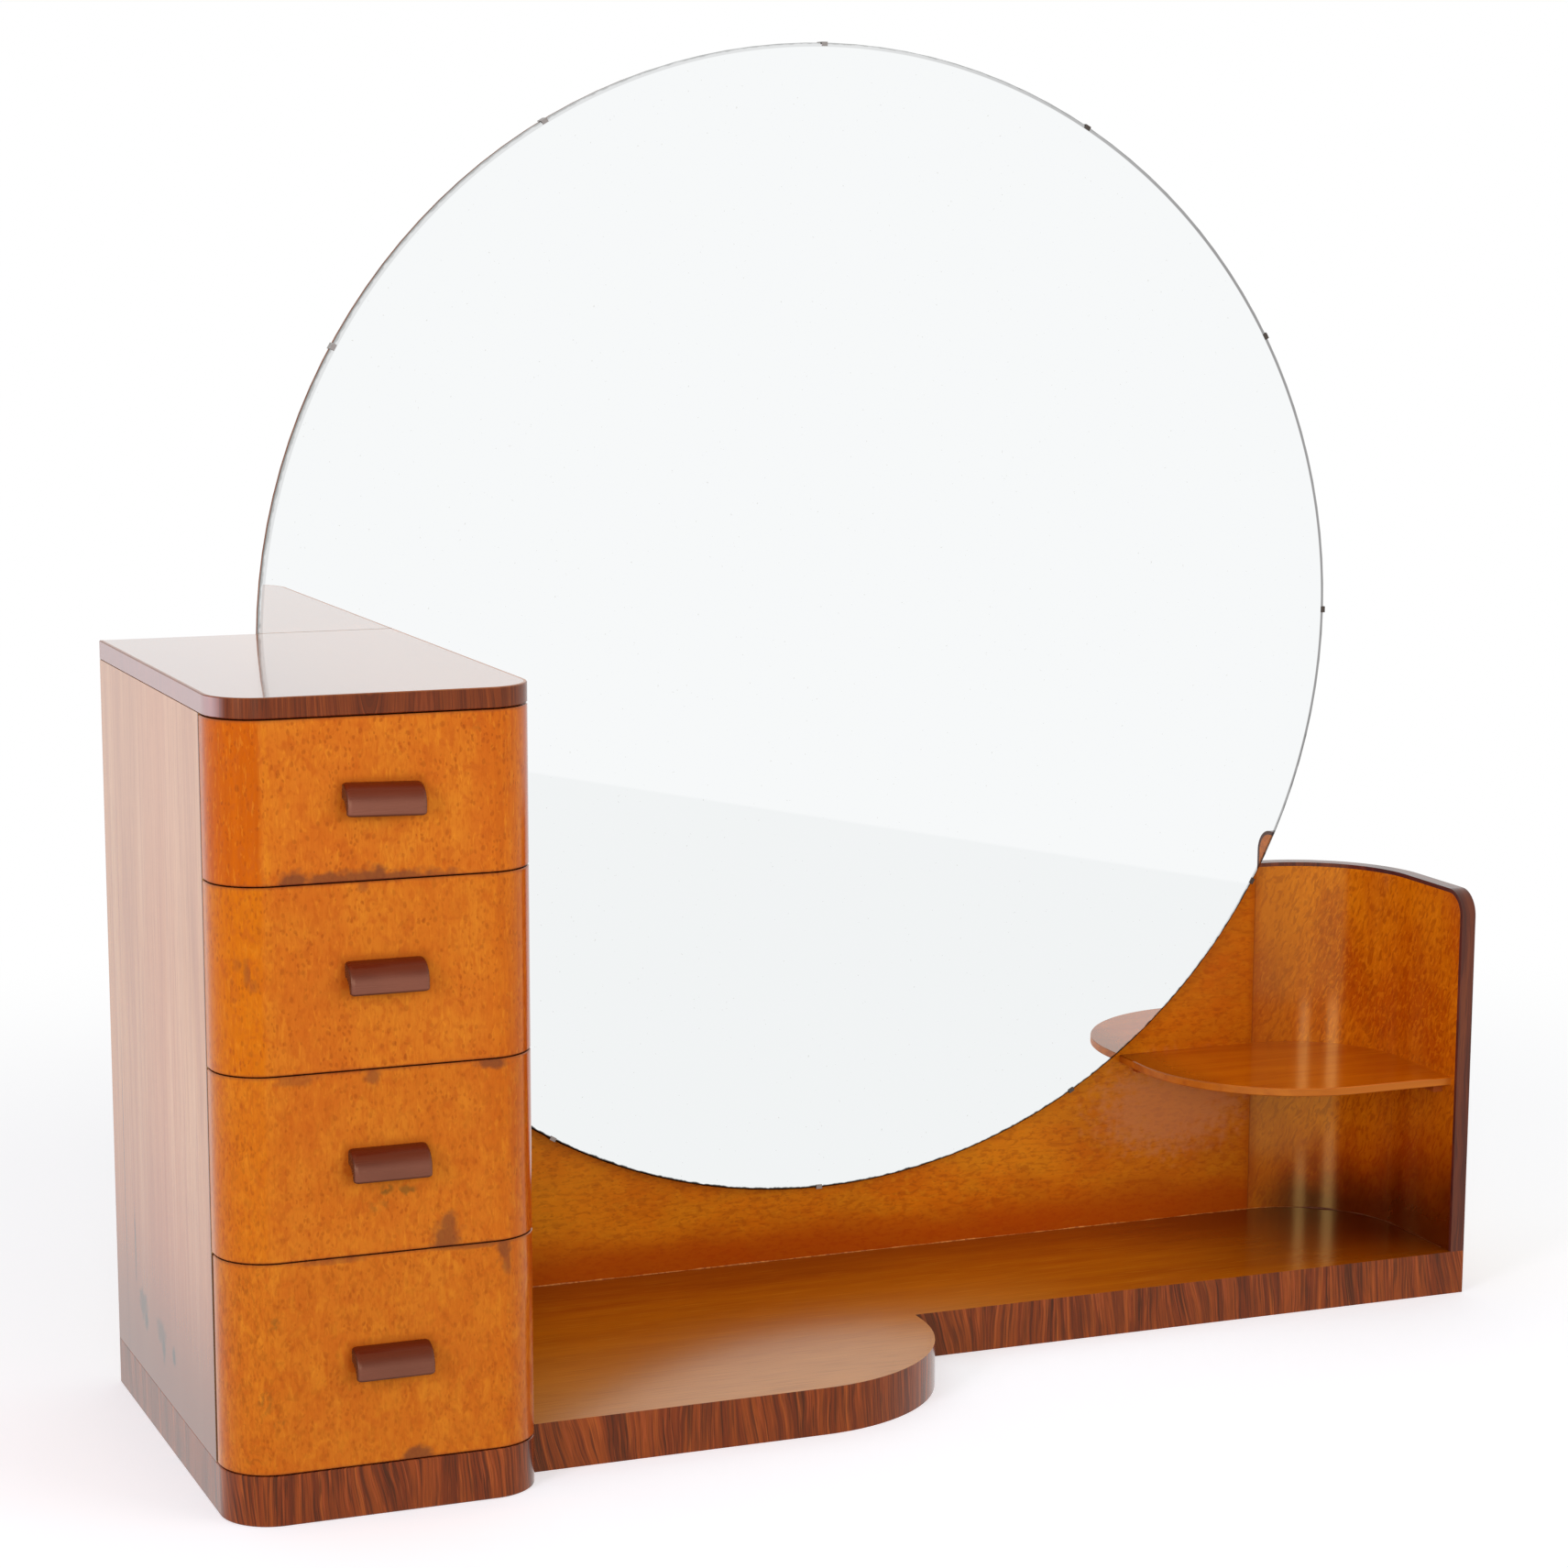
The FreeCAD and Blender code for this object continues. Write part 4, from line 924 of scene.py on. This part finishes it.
def make_pull(body, material):
    """A pull with rounded ends, in place of the square one of the CAD."""
    low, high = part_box(f"{body}_handle")
    half, depth, height = (high.x - low.x) / 2, high.y - low.y, high.z - low.z
    along, inward = PULL_END
    stations = []
    for step in range(PULL_STEPS + 1):
        turn = math.pi / 2 * step / PULL_STEPS
        stations.append((half - along * (1 - math.sin(turn)), inward * (1 - math.cos(turn))))
    stations = [(-x, inset) for x, inset in reversed(stations)] + stations
    centre = Vector(((low.x + high.x) / 2, high.y, (low.z + high.z) / 2))
    turn = Matrix.Rotation(math.radians(PULL_TURN.get(body, 0.0)), 3, "Y")
    shape = bmesh.new()
    rings = [[shape.verts.new(centre + turn @ Vector((x, -out, up - height / 2)))
              for out, up in pull_section(depth, height, inset)] for x, inset in stations]
    join_rings(shape, rings)
    piece = make_piece(f"{body}_pull", shape, body, material)
    piece.data.set_sharp_from_angle(angle=PULL_SHARP)
    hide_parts(f"{body}_handle")


# how far each pull has darkened
PULL_AGES = {"drawer_1": 0.0, "drawer_2": 0.08, "drawer_3": 0.2, "drawer_4": 0.22}
for body in DRAWERS:
    make_pull(body, pull_material(body, PULL_AGES[body]))


# ---- old glue ----------------------------------------------------------------------------

BEAD = 0.8 * MM                       # what has squeezed out along the deck, uneven
BEAD_REACH = 90 * MM                  # how far it runs on past the wing's bend
BEAD_GAP = 1 * MM                     # what is left free at each end
BEAD_STEPS = 260


def corner_route(along):
    """A point of the line where the panel and the wing meet the deck, and the way inward."""
    straight = seam_x - pedestal_high.x
    bend = math.pi / 2 * wing_corner
    if along < straight:
        return Vector((pedestal_high.x + along, panel_low.y, deck_high.z)), Vector((0, -1, 0))
    angle = min((along - straight) / wing_corner, math.pi / 2)
    outward = Vector((math.sin(angle), math.cos(angle), 0))
    centre = Vector((seam_x, panel_low.y - wing_corner, deck_high.z))
    past = max(along - straight - bend, 0)
    return centre + outward * wing_corner - Vector((0, past, 0)), -outward


def make_bead():
    """A lumpy quarter-round bead of glue in the corner."""
    length = seam_x - pedestal_high.x + math.pi / 2 * wing_corner + BEAD_REACH
    shape = bmesh.new()
    rings = []
    for step in range(BEAD_STEPS + 1):
        run = (length - 2 * BEAD_GAP) * step / BEAD_STEPS
        place, inward = corner_route(BEAD_GAP + run)
        lump = noise.noise(Vector((step * 0.23, 4.7, 1.3)))
        corners = [(0, 0)] + arc((0, 0), BEAD * max(0.15, 0.8 + 1.4 * lump), 0, 90, 4)
        rings.append([shape.verts.new(place + inward * out + Vector((0, 0, up)))
                      for out, up in corners])
    join_rings(shape, rings)
    paint = Paint("old_glue")
    crumbs = paint.noise(300, detail=3.0)
    base = paint.ramp(crumbs, (0.35, colour(160, 80, 16)), (0.65, colour(220, 140, 60)))
    x = paint.axis("X")
    # painted shade: the glue darker in the wing's corner
    base = paint.layers(base, (0.85, (66, 22, 4), x, seam_x, seam_x + 70 * MM))
    make_piece("glue_line", shape, "frame", paint.finish(base, 0.55, crumbs))


make_bead()


# ---- camera ------------------------------------------------------------------------------

CAMERA_PLACE = Vector((-1.3382, -3.1254, 1.0797))
CAMERA_YAW = math.radians(22.455)     # from +Y towards +X
CAMERA_PITCH = math.radians(-10.326)
CAMERA_ROLL = math.radians(0.267)
CAMERA_LENS = 86.76                   # mm, on a sensor 36 mm wide
CAMERA_SHIFT = (-0.0202, 0.0611)


def make_camera():
    """The photo's camera, as fitted to its straight edges and the mirror's rim."""
    forward = Vector((math.sin(CAMERA_YAW) * math.cos(CAMERA_PITCH),
                      math.cos(CAMERA_YAW) * math.cos(CAMERA_PITCH), math.sin(CAMERA_PITCH)))
    level = Vector((math.cos(CAMERA_YAW), -math.sin(CAMERA_YAW), 0))
    up = level.cross(forward)
    right = level * math.cos(CAMERA_ROLL) + up * math.sin(CAMERA_ROLL)
    top = up * math.cos(CAMERA_ROLL) - level * math.sin(CAMERA_ROLL)
    data = bpy.data.cameras.new("camera")
    data.sensor_width = 36
    data.lens = CAMERA_LENS
    data.shift_x, data.shift_y = CAMERA_SHIFT
    camera = bpy.data.objects.new("camera", data)
    turn = Matrix((right, top, -forward)).transposed()
    camera.matrix_world = Matrix.Translation(CAMERA_PLACE) @ turn.to_4x4()
    bpy.context.scene.collection.objects.link(camera)
    bpy.context.scene.camera = camera


make_camera()


# ---- studio ------------------------------------------------------------------------------

WORLD_LIGHT = 0.58                    # what the surroundings give to matt surfaces
FLOOR_SIZE = 12.0
FLOOR_FADE = (1.1, 2.2)               # from here to here the floor turns plain white
NEAR_GLOW = 0.4                       # light of its own that the near floor has to the eye
COOL = (0.9, 0.83, 1.0)               # the windows' light, a little lilac
FLOOR_LINE = ((0.86, -3.16), (0.42, 0.907))   # a point of the line and its direction


def make_world():
    """White to the eye and in reflections, softer as light on the object."""
    world = bpy.data.worlds.new("studio")
    world.use_nodes = True
    bpy.context.scene.world = world
    tree = world.node_tree
    background = tree.nodes["Background"]
    background.inputs["Color"].default_value = (1, 1, 1, 1)
    rays = tree.nodes.new("ShaderNodeLightPath").outputs
    seen = rays["Is Camera Ray"]
    for name in ("Is Glossy Ray", "Is Transmission Ray"):
        either = tree.nodes.new("ShaderNodeMath")
        either.operation = "MAXIMUM"
        tree.links.new(seen, either.inputs[0])
        tree.links.new(rays[name], either.inputs[1])
        seen = either.outputs[0]
    strength = tree.nodes.new("ShaderNodeMapRange")
    strength.inputs["To Min"].default_value = WORLD_LIGHT
    strength.inputs["To Max"].default_value = 1.0
    tree.links.new(seen, strength.inputs["Value"])
    tree.links.new(strength.outputs[0], background.inputs["Strength"])


def make_floor():
    """A pale floor: it keeps the shadow near the object and is plain white further off."""
    mesh = bpy.data.meshes.new("floor")
    half = FLOOR_SIZE / 2
    corners = [(-half, -half, 0), (half, -half, 0), (half, half, 0), (-half, half, 0)]
    mesh.from_pydata(corners, [], [(0, 1, 2, 3)])
    floor = bpy.data.objects.new("floor", mesh)
    bpy.context.scene.collection.objects.link(floor)
    paint = Paint("pale_floor")
    rays = paint.add("ShaderNodeLightPath").outputs
    grain = paint.noise(300, detail=2.0)
    base = paint.ramp(grain, (0.0, (0.79, 0.80, 0.81, 1)), (1.0, (0.83, 0.84, 0.85, 1)))
    material = paint.finish(base, 0.9, specular=0.0)
    paint.shader.inputs["Emission Color"].default_value = (1, 1, 1, 1)
    glow = paint.times(rays["Is Camera Ray"], NEAR_GLOW)
    paint.plug(paint.shader.inputs["Emission Strength"], glow)
    reach = paint.add("ShaderNodeVectorMath", {0: paint.object}, operation="LENGTH")
    far = paint.band(reach.outputs["Value"], *FLOOR_FADE)
    mirrored = paint.sum("MAXIMUM", rays["Is Glossy Ray"], rays["Is Transmission Ray"])
    white = paint.sum("MAXIMUM", mirrored, paint.times(far, rays["Is Camera Ray"]))
    # in reflections the floor is a shade greyer than the wall it meets along a slanting line
    (x, y), (along_x, along_y) = FLOOR_LINE
    side = paint.less(paint.times(paint.less(paint.axis("X"), x), along_y),
                      paint.times(paint.less(paint.axis("Y"), y), along_x))
    shade = paint.times(paint.below(side, -0.01, 0.02), mirrored)
    tone = paint.mix(shade, (1, 1, 1, 1), (0.95, 0.955, 0.955, 1))
    plain = paint.add("ShaderNodeEmission", {"Color": tone, "Strength": 1.0}).outputs[0]
    inputs = {0: white, 1: paint.shader.outputs[0], 2: plain}
    both = paint.add("ShaderNodeMixShader", inputs)
    paint.plug(paint.tree.nodes["Material Output"].inputs["Surface"], both.outputs[0])
    mesh.materials.append(material)


def make_lamp(name, place, target, size, power, mirrored, tone=(1, 1, 1)):
    """A soft lamp, which polished surfaces show only where it is mirrored."""
    data = bpy.data.lights.new(name, "AREA")
    data.shape = "RECTANGLE"
    data.size, data.size_y = size
    data.energy = power
    data.color = tone
    lamp = bpy.data.objects.new(name, data)
    lamp.location = place
    lamp.rotation_euler = (Vector(target) - Vector(place)).to_track_quat("-Z", "Y").to_euler()
    lamp.visible_camera = False
    lamp.visible_glossy = mirrored
    bpy.context.scene.collection.objects.link(lamp)


bpy.context.scene.view_settings.view_transform = "Standard"
make_world()
make_floor()
make_lamp("key", (2.6, -2.9, 1.7), (0, 0, 0.4), (2.6, 2.2), 38, False)
make_lamp("fill", (-4.2, 0.3, 1.2), (-0.6, 0, 0.4), (1.6, 1.6), 10, False)
make_lamp("window_left", (-2.9, -2.0, 1.25), (0.5, 0.1, 0.4), (0.8, 1.5), 32, True, COOL)
make_lamp("window_right", (-1.6, -3.9, 1.25), (0.5, 0.1, 0.4), (0.8, 1.5), 32, True, COOL)
